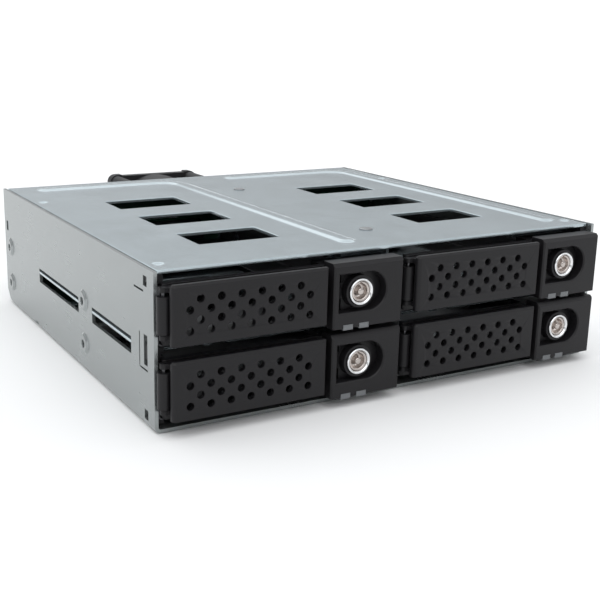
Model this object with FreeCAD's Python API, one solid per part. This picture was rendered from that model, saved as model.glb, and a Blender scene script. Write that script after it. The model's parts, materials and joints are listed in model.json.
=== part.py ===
"""Hot swap drive cage for one half-height 5.25 inch bay.

Four trays for 2.5 inch drives sit two wide and two high in a folded steel
cage, with a backplane and a fan behind them. Each tray has a perforated lever
door and a lock block with a sliding release button and a key lock.

Units are millimetres. Every piece is drawn in the bay frame: X is right,
Y runs from the cage's front edge to its rear and Z is up from its floor.
When it is written out, a piece is moved so that the origin is the centre of
the bottom screw rectangle.
"""
import FreeCAD, Part
import math
import os

V = FreeCAD.Vector

# ---------------------------------------------------------------- cage sheet
CAGE_W = 146.0          # overall width of the folded cage
CAGE_H = 41.4           # overall height
CAGE_D = 138.5          # depth of the side walls
WALL = 1.0              # cage and cover sheet
INNER_SHEET = 0.8       # shelf, divider and bracket sheet
BEND_R = 1.6            # outside radius of the cage's two long bends
COVER_GAP = 0.5         # gap between the cover and each side wall
COVER_SHORT = 0.4       # cover stops this far before the walls' rear edge
COVER_FRONT = 1.5       # and starts this far behind their front edge
REAR_CORNER = 4.5       # cut across the walls' lower rear corners
UPPER_EXTRA = 1.8       # headroom that the upper bays have over the lower ones

HALF_W = CAGE_W / 2.0
WALL_IN = HALF_W - WALL
COVER_LOW = CAGE_H - WALL
HALF_DIV = INNER_SHEET / 2.0
BAY_W = WALL_IN - HALF_DIV
BAY_X = HALF_DIV + BAY_W / 2.0
BAY_H = (CAGE_H - 2.0 * WALL - INNER_SHEET - UPPER_EXTRA) / 2.0
SHELF_Z = WALL + BAY_H
SHELF_TOP = SHELF_Z + INNER_SHEET
ROW_PITCH = BAY_H + INNER_SHEET

# ------------------------------------------------ stations from front to rear
BOARD_Y = CAGE_D - 23.3     # front face of the circuit board
SHELF_FRONT = 4.8
SHELF_D = BOARD_Y - 12.2
DIVIDER_FRONT = 6.0
DIVIDER_D = BOARD_Y - 3.2
PANEL_Y = CAGE_D - INNER_SHEET

# ------------------------------------------------------- fixing to the bay
SCREW_SPAN = 79.25          # front to rear screw distance, sides and bottom
SIDE_SCREW_FRONT = CAGE_D - 6.95 - SCREW_SPAN
SIDE_SCREW_LOW = 8.4        # height of the lower side screws
SIDE_SCREW_RISE = 12.9      # lower to upper side screws
BASE_SCREW_FRONT = CAGE_D - 11.85 - SCREW_SPAN
BASE_SCREW_EDGE = 3.15      # bottom screws in from the cage's side
TAP_R = 1.25                # M3 tapping hole
BOSS_R = 3.4                # raised round boss of a side screw
BOSS_TAPER = 0.9
BOSS_H = 0.6                # how far a boss stands out of the wall
COLLAR_R = 2.4              # drawn collar round a bottom screw
COLLAR_H = 1.0

# ------------------------------------------------------ openings in the walls
SLOT_LOW = SHELF_Z - 2.8    # long side slots
SLOT_H = 4.6
SLOT_1 = (15.2, SIDE_SCREW_FRONT - 7.1)
SLOT_2 = (SIDE_SCREW_FRONT + 4.7, SHELF_D - 6.5)
HOOK_Y = 4.2                # hook windows behind the front edge
HOOK_W = 2.3
HOOK_TOP_H = 2.6            # height of the two small windows
HOOK_EDGE = 2.0             # small windows' distance from the wall's ends
HOOK_MID_H = 7.9            # height of the middle window
HOOK_MID_DROP = 3.0         # middle window reaches this far under the shelf
LANCE_W = 0.5               # narrow slits that free a spring tongue
LANCE_BACK = 2.6            # upright slit behind the hook windows
NOTCH_Y = SHELF_D - 3.0     # notch in each wall's lower edge
NOTCH_W = 3.4
NOTCH_H = 1.8
REAR_HOLE_H = 3.4           # small upright hole near the rear
REAR_HOLE_W = 2.0

# ---------------------------------------------------------------- top cover
WINDOW_W = 25.0             # six air windows
WINDOW_D = 15.5
WINDOW_FIRST = 24.0         # front edge to the first window
WINDOW_PITCH = (SHELF_D - 44.5) / 2.0
WINDOW_X = BAY_X + 0.8
BEAD_W = 6.6                # raised stiffening bead, at its foot
BEAD_TOP = 3.0              # width of the bead's flat crest
BEAD_RISE = 0.5
BEAD_FRONT = 11.5           # where the forward legs end
BEAD_REAR = CAGE_D - 9.0    # centre line of the cross legs
BEAD_CORNER_R = 8.5
BEAD_CROSS = BAY_X + 13.8   # length of the cross legs
BEAD_LEG_X = (-10.5, WALL_IN - 8.0)
DIMPLE_R = 2.2              # pressed locating dimples
DIMPLE_DEPTH = 0.4
DIMPLE_EDGE = 3.1
DIMPLE_Y = (7.7, SHELF_D + 1.8)
RIVET_R = 1.2               # cover rivets: shank, head and tail
RIVET_HEAD_R = 2.0
RIVET_HEAD = 0.3
RIVET_Y = (WINDOW_FIRST - 1.6, SHELF_D - 0.2)

# ------------------------------------------------------- shelf and divider
SHELF_CUT = 1.7             # shelf is narrower beside the front guides
SHELF_CUT_D = 12.0
SHELF_NOTCHES = ((-33.0, 11.9), (-18.5, 3.7), (10.4, 2.4))
SHELF_NOTCH_D = 1.1
DIVIDER_FLANGE = 8.4
FLANGE_FRONT = 14.0
LAP_FIT = 0.05              # slack each side where shelf and divider cross

# ------------------------------------------------------------- front guides
GUIDE_FRONT = 2.0           # front edge of cage to the guide blocks
GUIDE_LEN = 9.6
GUIDE_W = 2.4
GUIDE_DROP = 2.6            # block height under the cover
GUIDE_MID = 1.6             # block height over and under the shelf
GUIDE_FLOOR = 1.6

# --------------------------------------------------------------------- trays
TRAY_PLAY = 0.4             # side play of a tray in its bay
TRAY_LIFT = 2.0             # tray floor over the cage floor or shelf
PAN_W = BAY_W - 2.0 * TRAY_PLAY
HALF_PAN = PAN_W / 2.0
PAN_T = 0.45                # tray steel
PAN_FRONT = 1.0
PAN_D = BOARD_Y - 7.2 - PAN_FRONT
PAN_H = 8.4                 # height of the tray's side flanges
PAN_BEND = 1.1
DRIVE_FRONT = 9.0
DRIVE_D = BOARD_Y - 6.0 - DRIVE_FRONT
DRIVE_HOLE_R = 1.6          # clearance for the drive's screws
DRIVE_HOLE_FRONT = 9.6      # drive front to its first screw pair
DRIVE_HOLE_REAR = 14.0      # drive rear to its second screw pair
DRIVE_HOLE_UP = 3.0         # side screw height over the drive's underside
DRIVE_HOLE_SIDE = 4.54      # floor screws in from the tray's side
VENT_SIDE = 13.4            # floor vents in from the tray's side
VENT_R = 1.5
SNAP_FRONT = 2.4            # snap windows behind the pan's front edge
SNAP_UP = 2.2
SNAP_SIZE = 2.8

# ------------------------------------------- tray front, in tray coordinates
FACE_Y = -5.9               # front plane of doors and lock blocks
BLOCK_W = 21.9              # lock block
BLOCK_RIGHT = HALF_PAN - 2.5
BLOCK_LEFT = BLOCK_RIGHT - BLOCK_W
BLOCK_LOW = -0.1
BLOCK_H = ROW_PITCH - 1.6
BLOCK_TOP = BLOCK_LOW + BLOCK_H
BLOCK_BEVEL = 1.0
BLOCK_EDGE = 0.4
DOOR_LEFT = 0.9 - HALF_PAN
DOOR_RIGHT = BLOCK_LEFT - 1.7
DOOR_W = DOOR_RIGHT - DOOR_LEFT
DOOR_LOW = 1.6
DOOR_H = ROW_PITCH - 3.9
DOOR_TOP = DOOR_LOW + DOOR_H
DOOR_T = 1.6
DOOR_RIM = 1.3
DOOR_RIM_D = 3.2
DOOR_RIM_IN = 1.0           # rims and lugs lie this far inside the door's edges
DOOR_BEVEL = 0.6
DOOR_ROUND = 1.2            # rounded upright edge on the hinge side
HOLE_R = 1.05               # door perforations
LONG_ROW_COUNT = 7
HOLE_PITCH = (DOOR_W - 10.22) / 6.0
HOLE_ROW = (DOOR_H - 7.32) / 3.0
HINGE_OUT = 0.4             # hinge axis left of the door's edge
HINGE_X = DOOR_LEFT - HINGE_OUT
HINGE_Y = -1.7
KNUCKLE_R = 1.8
KNUCKLE_LOW = 4.2
KNUCKLE_H = DOOR_H - 5.9
PIN_R = 0.6
PIN_FIT = 0.05
LUG_R = 1.15
LUG_ROOM = 0.35             # hollow round each lug in the tray frame
WALL_ROOM = 0.4             # barrel to the cage wall's front edge
FRAME_Y = -0.6              # tray frame behind the door
FRAME_T = 2.0
FRAME_LOW = 0.6
FRAME_TOP = BAY_H - TRAY_LIFT - 0.2
FRAME_LEFT = 0.8 - HALF_PAN
FRAME_BAR = 3.0             # uprights at the frame's two ends
FRAME_MULLION = 1.5
BODY_REAR = 6.0             # back of the lock block
BODY_STEP = 0.3             # the block is narrower inside the cage
CHEEK_REAR = 8.5
CHEEK_T = 2.2
CHEEK_H = 7.2

# -------------------------------------------------------- lock and release
LOCK_X = BLOCK_LEFT + 8.7   # lock axis in tray coordinates
LOCK_Z = BLOCK_LOW + BLOCK_H / 2.0 + 0.6
RECESS_LEFT = BLOCK_LEFT + 1.8
RECESS_RIGHT = BLOCK_RIGHT - 5.3
RECESS_H = BLOCK_H - 7.2    # D-shaped opening round the button
RECESS_WALL = 3.2
RECESS_EDGE = 0.35
BUTTON_R = RECESS_H / 2.0 - 0.8
BUTTON_BACK = 0.7           # button face behind the block's face
BUTTON_TRAVEL = 2.8
BUTTON_PLATE_T = 1.6
BUTTON_FIT = 0.1
BUTTON_LAP = 0.8            # plate's overlap behind the opening
CHAMBER_WALL = 1.2
HOUSING_R = BUTTON_R - 0.9
HOUSING_RIM = 0.15          # rim stands out over the sleeve
HOUSING_RIM_T = 0.6
HOUSING_REAR = 2.4
PLUG_R = HOUSING_R - 0.75
PLUG_FIT = 0.05
PLUG_BACK = 0.25            # plug face behind the rim
KEYWAY_W = 1.0
KEYWAY_H = 3.6
KEYWAY_D = 3.0
CAM_T = 1.0
CAM_R = RECESS_H / 2.0 - 0.6
CAM_W = 3.0
NOSE_H = 4.4                # latch nose of the button
NOSE_GAP = 0.4              # nose tip to the door's catch
CATCH_L = 1.0
POST_GAP = 0.6              # sleeve to the spring post
POST_T = 1.0
SPRING_T = 0.3
SPRING_W = 3.0
SPRING_FOLD_COUNT = 6
SPRING_SWING = 1.5
PIPE_W = 3.1                # light pipes under the block
PIPE_H = 1.5
PIPE_DROP = 0.5
PIPE_REAR = 0.7
PIPE_X = (BLOCK_LEFT + 4.75, BLOCK_LEFT + 9.75)

TRAY_Z = {"lower": WALL + TRAY_LIFT, "upper": SHELF_TOP + TRAY_LIFT}
TRAY_X = {"left": -BAY_X, "right": BAY_X}
SIDES = (-1.0, 1.0)

# ----------------------------------------------------------------- backplane
BOARD_T = 1.6
BOARD_SIDE = 2.0            # board's edges in from the walls
BOARD_LOW = 3.0
BOARD_H = CAGE_H - 5.4
BOARD_HALF_W = WALL_IN - BOARD_SIDE
BOARD_SCREW_X = BOARD_HALF_W - 3.0
BOARD_SCREW_Z = (BOARD_LOW + 13.5, BOARD_LOW + BOARD_H - 3.0)
AIR_SLOT_W = BAY_W - 27.6   # air slots through the board
AIR_SLOT_H = 2.8
AIR_SLOT_UP = 9.6           # slot centre over a tray's floor
STANDOFF_L = 2.0
STANDOFF_R = 2.4
BOARD_SCREW_R = 1.25
BOARD_HEAD_R = 2.5
BOARD_HEAD = 1.4
BRACKET_Y = BOARD_Y + BOARD_T + STANDOFF_L
BRACKET_FLANGE = 8.0
BRACKET_OPEN = (14.0, WALL_IN - 8.5)
BRACKET_OPEN_Z = (4.0, COVER_LOW - 6.4)
TAB_FRONT = SHELF_D + 0.6   # bracket's floor and cover tabs
TAB_IN = 20.0
RECEPT_W = 42.0             # drive receptacles
RECEPT_H = 6.4
RECEPT_D = 5.6
RECEPT_SLOT_W = 33.6
RECEPT_SLOT_H = 2.5
RECEPT_OFFSET = 8.0
RECEPT_UP = 3.7
PORT_D = 8.5                # plugs on the board's back
PORT_H = 5.8
PORT_WALL = 0.95
DATA_PORT_W = 16.4
DATA_TONGUE_W = 10.3
POWER_PORT_W = 25.0
POWER_TONGUE_W = 20.6
PORT_TONGUE = 1.2
PORT_STEP = 9.0             # data plugs either side of a bay's middle
DATA_PORT_X = (-BAY_X - PORT_STEP, PORT_STEP - BAY_X, BAY_X - PORT_STEP, BAY_X + PORT_STEP)
DATA_PORT_Z = TRAY_Z["upper"] + 2.8
POWER_PORT_Z = TRAY_Z["lower"] + 4.6
HEADER_W = 7.6
HEADER_H = 5.8
HEADER_D = 6.0
HEADER_X = 19.5
HEADER_Z = (DATA_PORT_Z + POWER_PORT_Z) / 2.0 + 1.0

# ----------------------------------------------------------------- rear, fan
LEAD_MARGIN = 3.5           # fan to the openings for the leads
LEAD_EDGE = 6.0             # the openings' distance from the walls
LEAD_RAIL = 4.0             # and from the floor and cover
LEAD_R = 3.0
PANEL_FLANGE = 9.0
FLANGE_IN = 24.0
FAN_Y = CAGE_D
FAN_SIZE = CAGE_H - 3.4
FAN_D = 28.0
FAN_X = -4.5
FAN_Z = (WALL + COVER_LOW) / 2.0 + 0.3
FAN_REAR = FAN_Y + FAN_D
FAN_FLANGE = 3.6
FAN_CORNER = 3.0
FAN_CORNER_POST = 2.6
FAN_DISH = 0.5              # hollow along the middle of each fan side
FAN_BORE_R = FAN_SIZE / 2.0 - 1.7
FAN_DUCT = 1.2
FAN_SCREW_PITCH = FAN_SIZE - 6.0
FAN_SCREW_R = 1.45
FAN_HEAD_R = 2.8
FAN_HEAD = 1.9
HUB_R = 8.4
TIP_GAP = 0.6
BLADE_COUNT = 7
SHAFT_R = 1.0
SHAFT_FIT = 0.04
BEARING_R = 2.4
STRUT_T = 2.4
STRUT_W = 2.2
STRUT_COUNT = 3

# ------------------------------------------------------------ worked out once
PLATE_Y = FACE_Y + RECESS_WALL + BUTTON_FIT
PLATE_HALF_H = RECESS_H / 2.0 + BUTTON_LAP
PLATE_LEFT = LOCK_X - BUTTON_R
CHAMBER_RIGHT = BLOCK_RIGHT - CHAMBER_WALL
PLATE_RIGHT = CHAMBER_RIGHT - BUTTON_TRAVEL - 0.2
SIDE_SCREW_Y = (SIDE_SCREW_FRONT, SIDE_SCREW_FRONT + SCREW_SPAN)
SIDE_SCREW_Z = (SIDE_SCREW_LOW, SIDE_SCREW_LOW + SIDE_SCREW_RISE)
BASE_SCREW_X = HALF_W - BASE_SCREW_EDGE
BASE_SCREW_Y = (BASE_SCREW_FRONT, BASE_SCREW_FRONT + SCREW_SPAN)
ORIGIN_SHIFT = V(0, -sum(BASE_SCREW_Y) / 2.0, 0)


# ------------------------------------------------------------------- helpers
def block(x0, x1, y0, y1, z0, z1):
    """A box between two corners."""
    return Part.makeBox(x1 - x0, y1 - y0, z1 - z0, V(x0, y0, z0))


def rod(radius, start, direction, length):
    """A cylinder from a start point along a direction."""
    return Part.makeCylinder(radius, length, start, direction)


def fuse(shapes):
    """Join solids of one piece and drop the seams between flat faces."""
    first, rest = shapes[0], list(shapes[1:])
    if not rest:
        return first
    return first.multiFuse(rest).removeSplitter()


def cut(shape, tools):
    """Take every tool away from a shape."""
    return shape.cut(Part.makeCompound(list(tools)))


def solids(shapes):
    """Group separate solids that share one node."""
    return Part.makeCompound([solid for shape in shapes for solid in shape.Solids])


def edges_where(shape, test):
    """The straight edges whose two ends both pass a test."""
    return [e for e in shape.Edges if len(e.Vertexes) == 2 and all(test(v.Point) for v in e.Vertexes)]


def near(a, b):
    """Two lengths are the same."""
    return abs(a - b) < 1e-4


def rounded_wire(width, height, radius):
    """A rounded rectangle about the origin in the XY plane."""
    w, h = width / 2.0 - radius, height / 2.0 - radius
    corners = [(w, h, 0), (-w, h, 90), (-w, -h, 180), (w, -h, 270)]
    edges = []
    for i, (cx, cy, start) in enumerate(corners):
        arc = [V(cx + radius * math.cos(math.radians(start + a)),
                 cy + radius * math.sin(math.radians(start + a)), 0) for a in (0, 45, 90)]
        nx, ny, ns = corners[(i + 1) % 4]
        follow = V(nx + radius * math.cos(math.radians(ns)), ny + radius * math.sin(math.radians(ns)), 0)
        edges += [Part.Arc(*arc).toShape(), Part.LineSegment(arc[2], follow).toShape()]
    return Part.Wire(edges)


def rounded_prism_z(width, depth, radius, x, y, z0, z1):
    """A rounded rectangle in plan, raised from z0 to z1."""
    face = Part.Face(rounded_wire(width, depth, radius))
    face.translate(V(x, y, z0))
    return face.extrude(V(0, 0, z1 - z0))


def rounded_prism_y(width, height, radius, x, z, y0, y1):
    """A rounded rectangle seen from the front, carried from y0 to y1."""
    face = Part.Face(rounded_wire(width, height, radius))
    face.rotate(V(0, 0, 0), V(1, 0, 0), 90)
    face.translate(V(x, y0, z))
    return face.extrude(V(0, y1 - y0, 0))


def outline(points):
    """A closed flat face through points."""
    return Part.Face(Part.makePolygon(points + points[:1]))


# ---------------------------------------------------------------------- cage
def wall_cutters(side):
    """Everything that is punched through one side wall."""
    x0, x1 = sorted((side * (WALL_IN - 0.5), side * (HALF_W + 0.5)))
    top_low = CAGE_H - HOOK_EDGE - HOOK_TOP_H
    mid_low = SHELF_Z - HOOK_MID_DROP
    lance_y = HOOK_Y + HOOK_W + LANCE_BACK
    tools = [block(x0, x1, y0, y1, SLOT_LOW, SLOT_LOW + SLOT_H) for y0, y1 in (SLOT_1, SLOT_2)]
    tools += [
        block(x0, x1, HOOK_Y, HOOK_Y + HOOK_W, top_low, top_low + HOOK_TOP_H),
        block(x0, x1, HOOK_Y, HOOK_Y + HOOK_W, mid_low, mid_low + HOOK_MID_H),
        block(x0, x1, HOOK_Y, HOOK_Y + HOOK_W, HOOK_EDGE, HOOK_EDGE + HOOK_TOP_H),
        block(x0, x1, lance_y, lance_y + LANCE_W, mid_low - 1.0, mid_low + HOOK_MID_H),
        block(x0, x1, HOOK_Y, lance_y + LANCE_W, mid_low - 1.0 - LANCE_W, mid_low - 1.0),
        block(x0, x1, HOOK_Y + HOOK_W, lance_y + 3.6, top_low - 1.2 - LANCE_W, top_low - 1.2),
        block(x0, x1, NOTCH_Y, NOTCH_Y + NOTCH_W, -1, NOTCH_H),
        block(x0, x1, SIDE_SCREW_Y[1] + 2.4, SIDE_SCREW_Y[1] + 2.4 + REAR_HOLE_W,
              SIDE_SCREW_Z[1] + 5.6, SIDE_SCREW_Z[1] + 5.6 + REAR_HOLE_H),
    ]
    tools.append(corner_cutter(x0, x1))
    return tools


def corner_cutter(x0, x1):
    """A wedge that takes off a wall's lower rear corner."""
    over = REAR_CORNER + 1.0
    wedge = outline([V(x0, CAGE_D - REAR_CORNER, -1e-3), V(x0, CAGE_D - REAR_CORNER, -1.0),
                     V(x0, CAGE_D + 1.0, -1.0), V(x0, CAGE_D + 1.0, over), V(x0, CAGE_D, REAR_CORNER)])
    return wedge.extrude(V(x1 - x0, 0, 0))


def cage_base():
    """Floor and both side walls, folded from one sheet."""
    outer = block(-HALF_W, HALF_W, 0, CAGE_D, 0, CAGE_H)
    outer = outer.makeFillet(BEND_R, [e for e in edges_where(outer, lambda p: near(p.z, 0))
                                      if near(abs(e.CenterOfMass.x), HALF_W)])
    inner = block(-WALL_IN, WALL_IN, -1, CAGE_D + 1, WALL, CAGE_H + 1)
    inner = inner.makeFillet(BEND_R - WALL, [e for e in edges_where(inner, lambda p: near(p.z, WALL))
                                             if near(abs(e.CenterOfMass.x), WALL_IN)])
    shape = outer.cut(inner)
    bosses = []
    for side in SIDES:
        for y in SIDE_SCREW_Y:
            for z in SIDE_SCREW_Z:
                boss = Part.makeCone(BOSS_R, BOSS_R - BOSS_TAPER, BOSS_H,
                                     V(side * HALF_W, y, z), V(side, 0, 0))
                bosses.append(boss)
    collars = [rod(COLLAR_R, V(side * BASE_SCREW_X, y, WALL), V(0, 0, 1), COLLAR_H)
               for side in SIDES for y in BASE_SCREW_Y]
    shape = shape.multiFuse(bosses + [c.common(inner) for c in collars])
    tools = []
    for side in SIDES:
        tools += wall_cutters(side)
        for y in SIDE_SCREW_Y:
            for z in SIDE_SCREW_Z:
                tools.append(rod(TAP_R, V(side * (WALL_IN - 1), y, z), V(side, 0, 0), WALL + BOSS_H + 2))
        for y in BASE_SCREW_Y:
            tools.append(rod(TAP_R, V(side * BASE_SCREW_X, y, -1), V(0, 0, 1), WALL + COLLAR_H + 2))
    return cut(shape, tools)


def bead_wire(end_x, leg_x, width, z):
    """Outline of an L-shaped bead: a cross leg from end_x, then a leg forward at leg_x."""
    r = width / 2.0
    corner = V(leg_x - BEAD_CORNER_R, BEAD_REAR - BEAD_CORNER_R, z)

    def ring(radius):
        """Start, middle and end of the corner arc at one radius."""
        return [corner + V(radius * math.sin(math.radians(a)), radius * math.cos(math.radians(a)), 0)
                for a in (0, 45, 90)]

    outer, inner = ring(BEAD_CORNER_R + r), ring(BEAD_CORNER_R - r)
    near_end = [V(end_x, BEAD_REAR + s * r, z) for s in (1, -1)]
    far_end = [V(leg_x + s * r, BEAD_FRONT, z) for s in (1, -1)]
    return Part.Wire([
        Part.LineSegment(near_end[0], outer[0]).toShape(),
        Part.Arc(*outer).toShape(),
        Part.LineSegment(outer[2], far_end[0]).toShape(),
        Part.Arc(far_end[0], V(leg_x, BEAD_FRONT - r, z), far_end[1]).toShape(),
        Part.LineSegment(far_end[1], inner[2]).toShape(),
        Part.Arc(*inner[::-1]).toShape(),
        Part.LineSegment(inner[0], near_end[1]).toShape(),
        Part.Arc(near_end[1], V(end_x - r, BEAD_REAR, z), near_end[0]).toShape()])


def bead_solid(leg_x, z, shrink):
    """A bead from level z up to its crest, narrowed all round by shrink."""
    end_x = leg_x - BEAD_CROSS
    foot = bead_wire(end_x, leg_x, BEAD_W - 2.0 * shrink, z)
    crest = bead_wire(end_x, leg_x, BEAD_TOP - 2.0 * shrink, z + BEAD_RISE)
    return Part.makeLoft([foot, crest], True, True)


def top_cover():
    """Cover plate with windows, two L-shaped beads and locating dimples."""
    half = WALL_IN - COVER_GAP
    plate = block(-half, half, COVER_FRONT, CAGE_D - COVER_SHORT, COVER_LOW, CAGE_H)
    plate = plate.multiFuse([bead_solid(leg, CAGE_H, 0.0) for leg in BEAD_LEG_X])
    tools = [bead_solid(leg, COVER_LOW, 0.4) for leg in BEAD_LEG_X]
    for side in SIDES:
        for i in range(3):
            y = WINDOW_FIRST + i * WINDOW_PITCH
            tools.append(block(side * WINDOW_X - WINDOW_W / 2.0, side * WINDOW_X + WINDOW_W / 2.0,
                               y, y + WINDOW_D, COVER_LOW - 2, CAGE_H + 1))
        for y in DIMPLE_Y:
            centre = V(side * (half - DIMPLE_EDGE), y, CAGE_H + DIMPLE_R - DIMPLE_DEPTH)
            tools.append(Part.makeSphere(DIMPLE_R, centre))
    for x, y in rivet_places():
        tools.append(rod(RIVET_R, V(x, y, COVER_LOW - 1), V(0, 0, 1), WALL + 2))
    return cut(plate, tools)


def rivet_places():
    """Where the cover is riveted to the divider's flange."""
    x = DIVIDER_FLANGE / 2.0 - HALF_DIV
    return [(x, y) for y in RIVET_Y]


def cover_rivets():
    """Two flush rivets through the cover and the divider's top flange."""
    pieces = []
    for x, y in rivet_places():
        shank = rod(RIVET_R, V(x, y, COVER_LOW - INNER_SHEET), V(0, 0, 1), WALL + INNER_SHEET)
        head = rod(RIVET_HEAD_R, V(x, y, CAGE_H), V(0, 0, 1), RIVET_HEAD)
        tail = rod(RIVET_HEAD_R - 0.3, V(x, y, COVER_LOW - INNER_SHEET - 0.5), V(0, 0, 1), 0.5)
        pieces.append(fuse([shank, head, tail]))
    return solids(pieces)


def middle_shelf():
    """Shelf between the tray rows; its side lugs sit in the wall slots."""
    plate = block(-WALL_IN, WALL_IN, SHELF_FRONT, SHELF_D, SHELF_Z, SHELF_TOP)
    lugs = [block(min(side * WALL_IN, side * HALF_W), max(side * WALL_IN, side * HALF_W),
                  y0, y1, SHELF_Z, SHELF_TOP) for side in SIDES for y0, y1 in (SLOT_1, SLOT_2)]
    plate = fuse([plate] + lugs)
    z0, z1 = SHELF_Z - 1, SHELF_TOP + 1
    lap = HALF_DIV + LAP_FIT
    tools = [block(-lap, lap, -1, SHELF_D / 2.0, z0, z1)]
    for side in SIDES:
        x0, x1 = sorted((side * (WALL_IN - SHELF_CUT), side * (WALL_IN + 1)))
        tools.append(block(x0, x1, -1, SHELF_CUT_D, z0, z1))
        for i in range(3):
            y = WINDOW_FIRST + i * WINDOW_PITCH
            tools.append(block(side * WINDOW_X - WINDOW_W / 2.0, side * WINDOW_X + WINDOW_W / 2.0,
                               y, y + WINDOW_D, z0, z1))
        centre = side * BAY_X
        x0, x1 = sorted((side * (WALL_IN - 1.2), side * (WALL_IN + 1)))
        tools.append(block(x0, x1, SIDE_SCREW_Y[0] - 2.2, SIDE_SCREW_Y[0] + 2.2, z0, z1))
        for left, width in SHELF_NOTCHES:
            tools.append(block(centre + left, centre + left + width, -1, SHELF_FRONT + SHELF_NOTCH_D, z0, z1))
    return cut(plate, tools)


def centre_divider():
    """Upright between the columns, with flanges under the cover and on the floor."""
    web = block(-HALF_DIV, HALF_DIV, DIVIDER_FRONT, DIVIDER_D, WALL, COVER_LOW)
    reach = (-HALF_DIV, DIVIDER_FLANGE - HALF_DIV, FLANGE_FRONT, DIVIDER_D - 2)
    top = block(*reach, COVER_LOW - INNER_SHEET, COVER_LOW)
    foot = block(*reach, WALL, WALL + INNER_SHEET)
    shape = fuse([web, top, foot])
    tools = [block(-1, 1, SHELF_D / 2.0, DIVIDER_D + 1, SHELF_Z - LAP_FIT, SHELF_TOP + LAP_FIT)]
    for x, y in rivet_places():
        tools.append(rod(RIVET_R, V(x, y, COVER_LOW - 2), V(0, 0, 1), 3))
    for i in range(3):
        y = WINDOW_FIRST + i * WINDOW_PITCH + WINDOW_D / 2.0
        tools += [rod(3.0, V(-1, y, z), V(1, 0, 0), 2) for z in (SHELF_Z / 2.0 + 3, SHELF_TOP + 13)]
    return cut(shape, tools)


def guide_blocks():
    """Six moulded blocks that clip into the walls and steady the trays at the mouth."""
    pieces = []
    mid_low = SHELF_Z - HOOK_MID_DROP
    y0, y1 = GUIDE_FRONT, GUIDE_FRONT + GUIDE_LEN
    hook_y = (HOOK_Y + LAP_FIT, HOOK_Y + HOOK_W - LAP_FIT)
    for side in SIDES:
        def span(inner, outer):
            """Low and high X between two distances from the middle."""
            return sorted((side * inner, side * outer))

        x0, x1 = span(WALL_IN - GUIDE_W, WALL_IN)
        h0, h1 = span(WALL_IN, HALF_W - 0.3)
        top = [block(x0, x1, y0, y1, COVER_LOW - GUIDE_DROP, COVER_LOW),
               block(h0, h1, *hook_y, COVER_LOW - GUIDE_DROP, CAGE_H - HOOK_EDGE - LAP_FIT)]
        low = [block(x0, x1, y0, y1, WALL + BEND_R - WALL, WALL + GUIDE_FLOOR),
               block(h0, h1, *hook_y, HOOK_EDGE + LAP_FIT, WALL + GUIDE_FLOOR)]
        mid = [block(x0, x1, y0, y1, SHELF_Z - GUIDE_MID, SHELF_Z),
               block(x0, x1, y0, y1, SHELF_TOP, SHELF_TOP + GUIDE_MID),
               block(*span(WALL_IN - SHELF_CUT, WALL_IN), y0, y1, SHELF_Z - GUIDE_MID, SHELF_TOP + GUIDE_MID),
               block(h0, h1, *hook_y, mid_low + 1.5, SHELF_TOP + GUIDE_MID)]
        pieces += [fuse(top), fuse(low), fuse(mid)]
    return solids(pieces)


# ---------------------------------------------------------------------- tray
def tray_pan():
    """Folded tray floor and side flanges that hold the drive by its screws."""
    y0, y1 = PAN_FRONT, PAN_FRONT + PAN_D
    outer = block(-HALF_PAN, HALF_PAN, y0, y1, 0, PAN_H)
    outer = outer.makeFillet(PAN_BEND, [e for e in edges_where(outer, lambda p: near(p.z, 0))
                                        if near(abs(e.CenterOfMass.x), HALF_PAN)])
    inside = HALF_PAN - PAN_T
    inner = block(-inside, inside, y0 - 1, y1 + 1, PAN_T, PAN_H + 1)
    inner = inner.makeFillet(PAN_BEND - PAN_T, [e for e in edges_where(inner, lambda p: near(p.z, PAN_T))
                                                if near(abs(e.CenterOfMass.x), inside)])
    shape = outer.cut(inner)
    tools = []
    front, rear = DRIVE_FRONT + DRIVE_HOLE_FRONT, DRIVE_FRONT + DRIVE_D - DRIVE_HOLE_REAR
    for y in (front, rear):
        tools.append(rod(DRIVE_HOLE_R, V(-HALF_PAN - 1, y, PAN_T + DRIVE_HOLE_UP), V(1, 0, 0), PAN_W + 2))
        tools += [rod(DRIVE_HOLE_R, V(side * (HALF_PAN - DRIVE_HOLE_SIDE), y, -1), V(0, 0, 1), PAN_T + 2)
                  for side in SIDES]
    for i in range(3):
        centre = WINDOW_FIRST + i * WINDOW_PITCH + WINDOW_D / 2.0
        tools.append(rounded_prism_z(PAN_W - 2.0 * VENT_SIDE, WINDOW_D, VENT_R, 0, centre, -1, PAN_T + 1))
    for side in SIDES:
        x0, x1 = sorted((side * (inside - 1), side * (HALF_PAN + 1)))
        tools.append(block(x0, x1, *snap_window(0.0)))
    return cut(shape, tools)


def snap_window(slack):
    """Y and Z span of the windows where the tray front snaps into the pan."""
    y, z = PAN_FRONT + SNAP_FRONT, PAN_T + SNAP_UP
    return (y + slack, y + SNAP_SIZE - slack, z + slack, z + SNAP_SIZE - slack)


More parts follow.
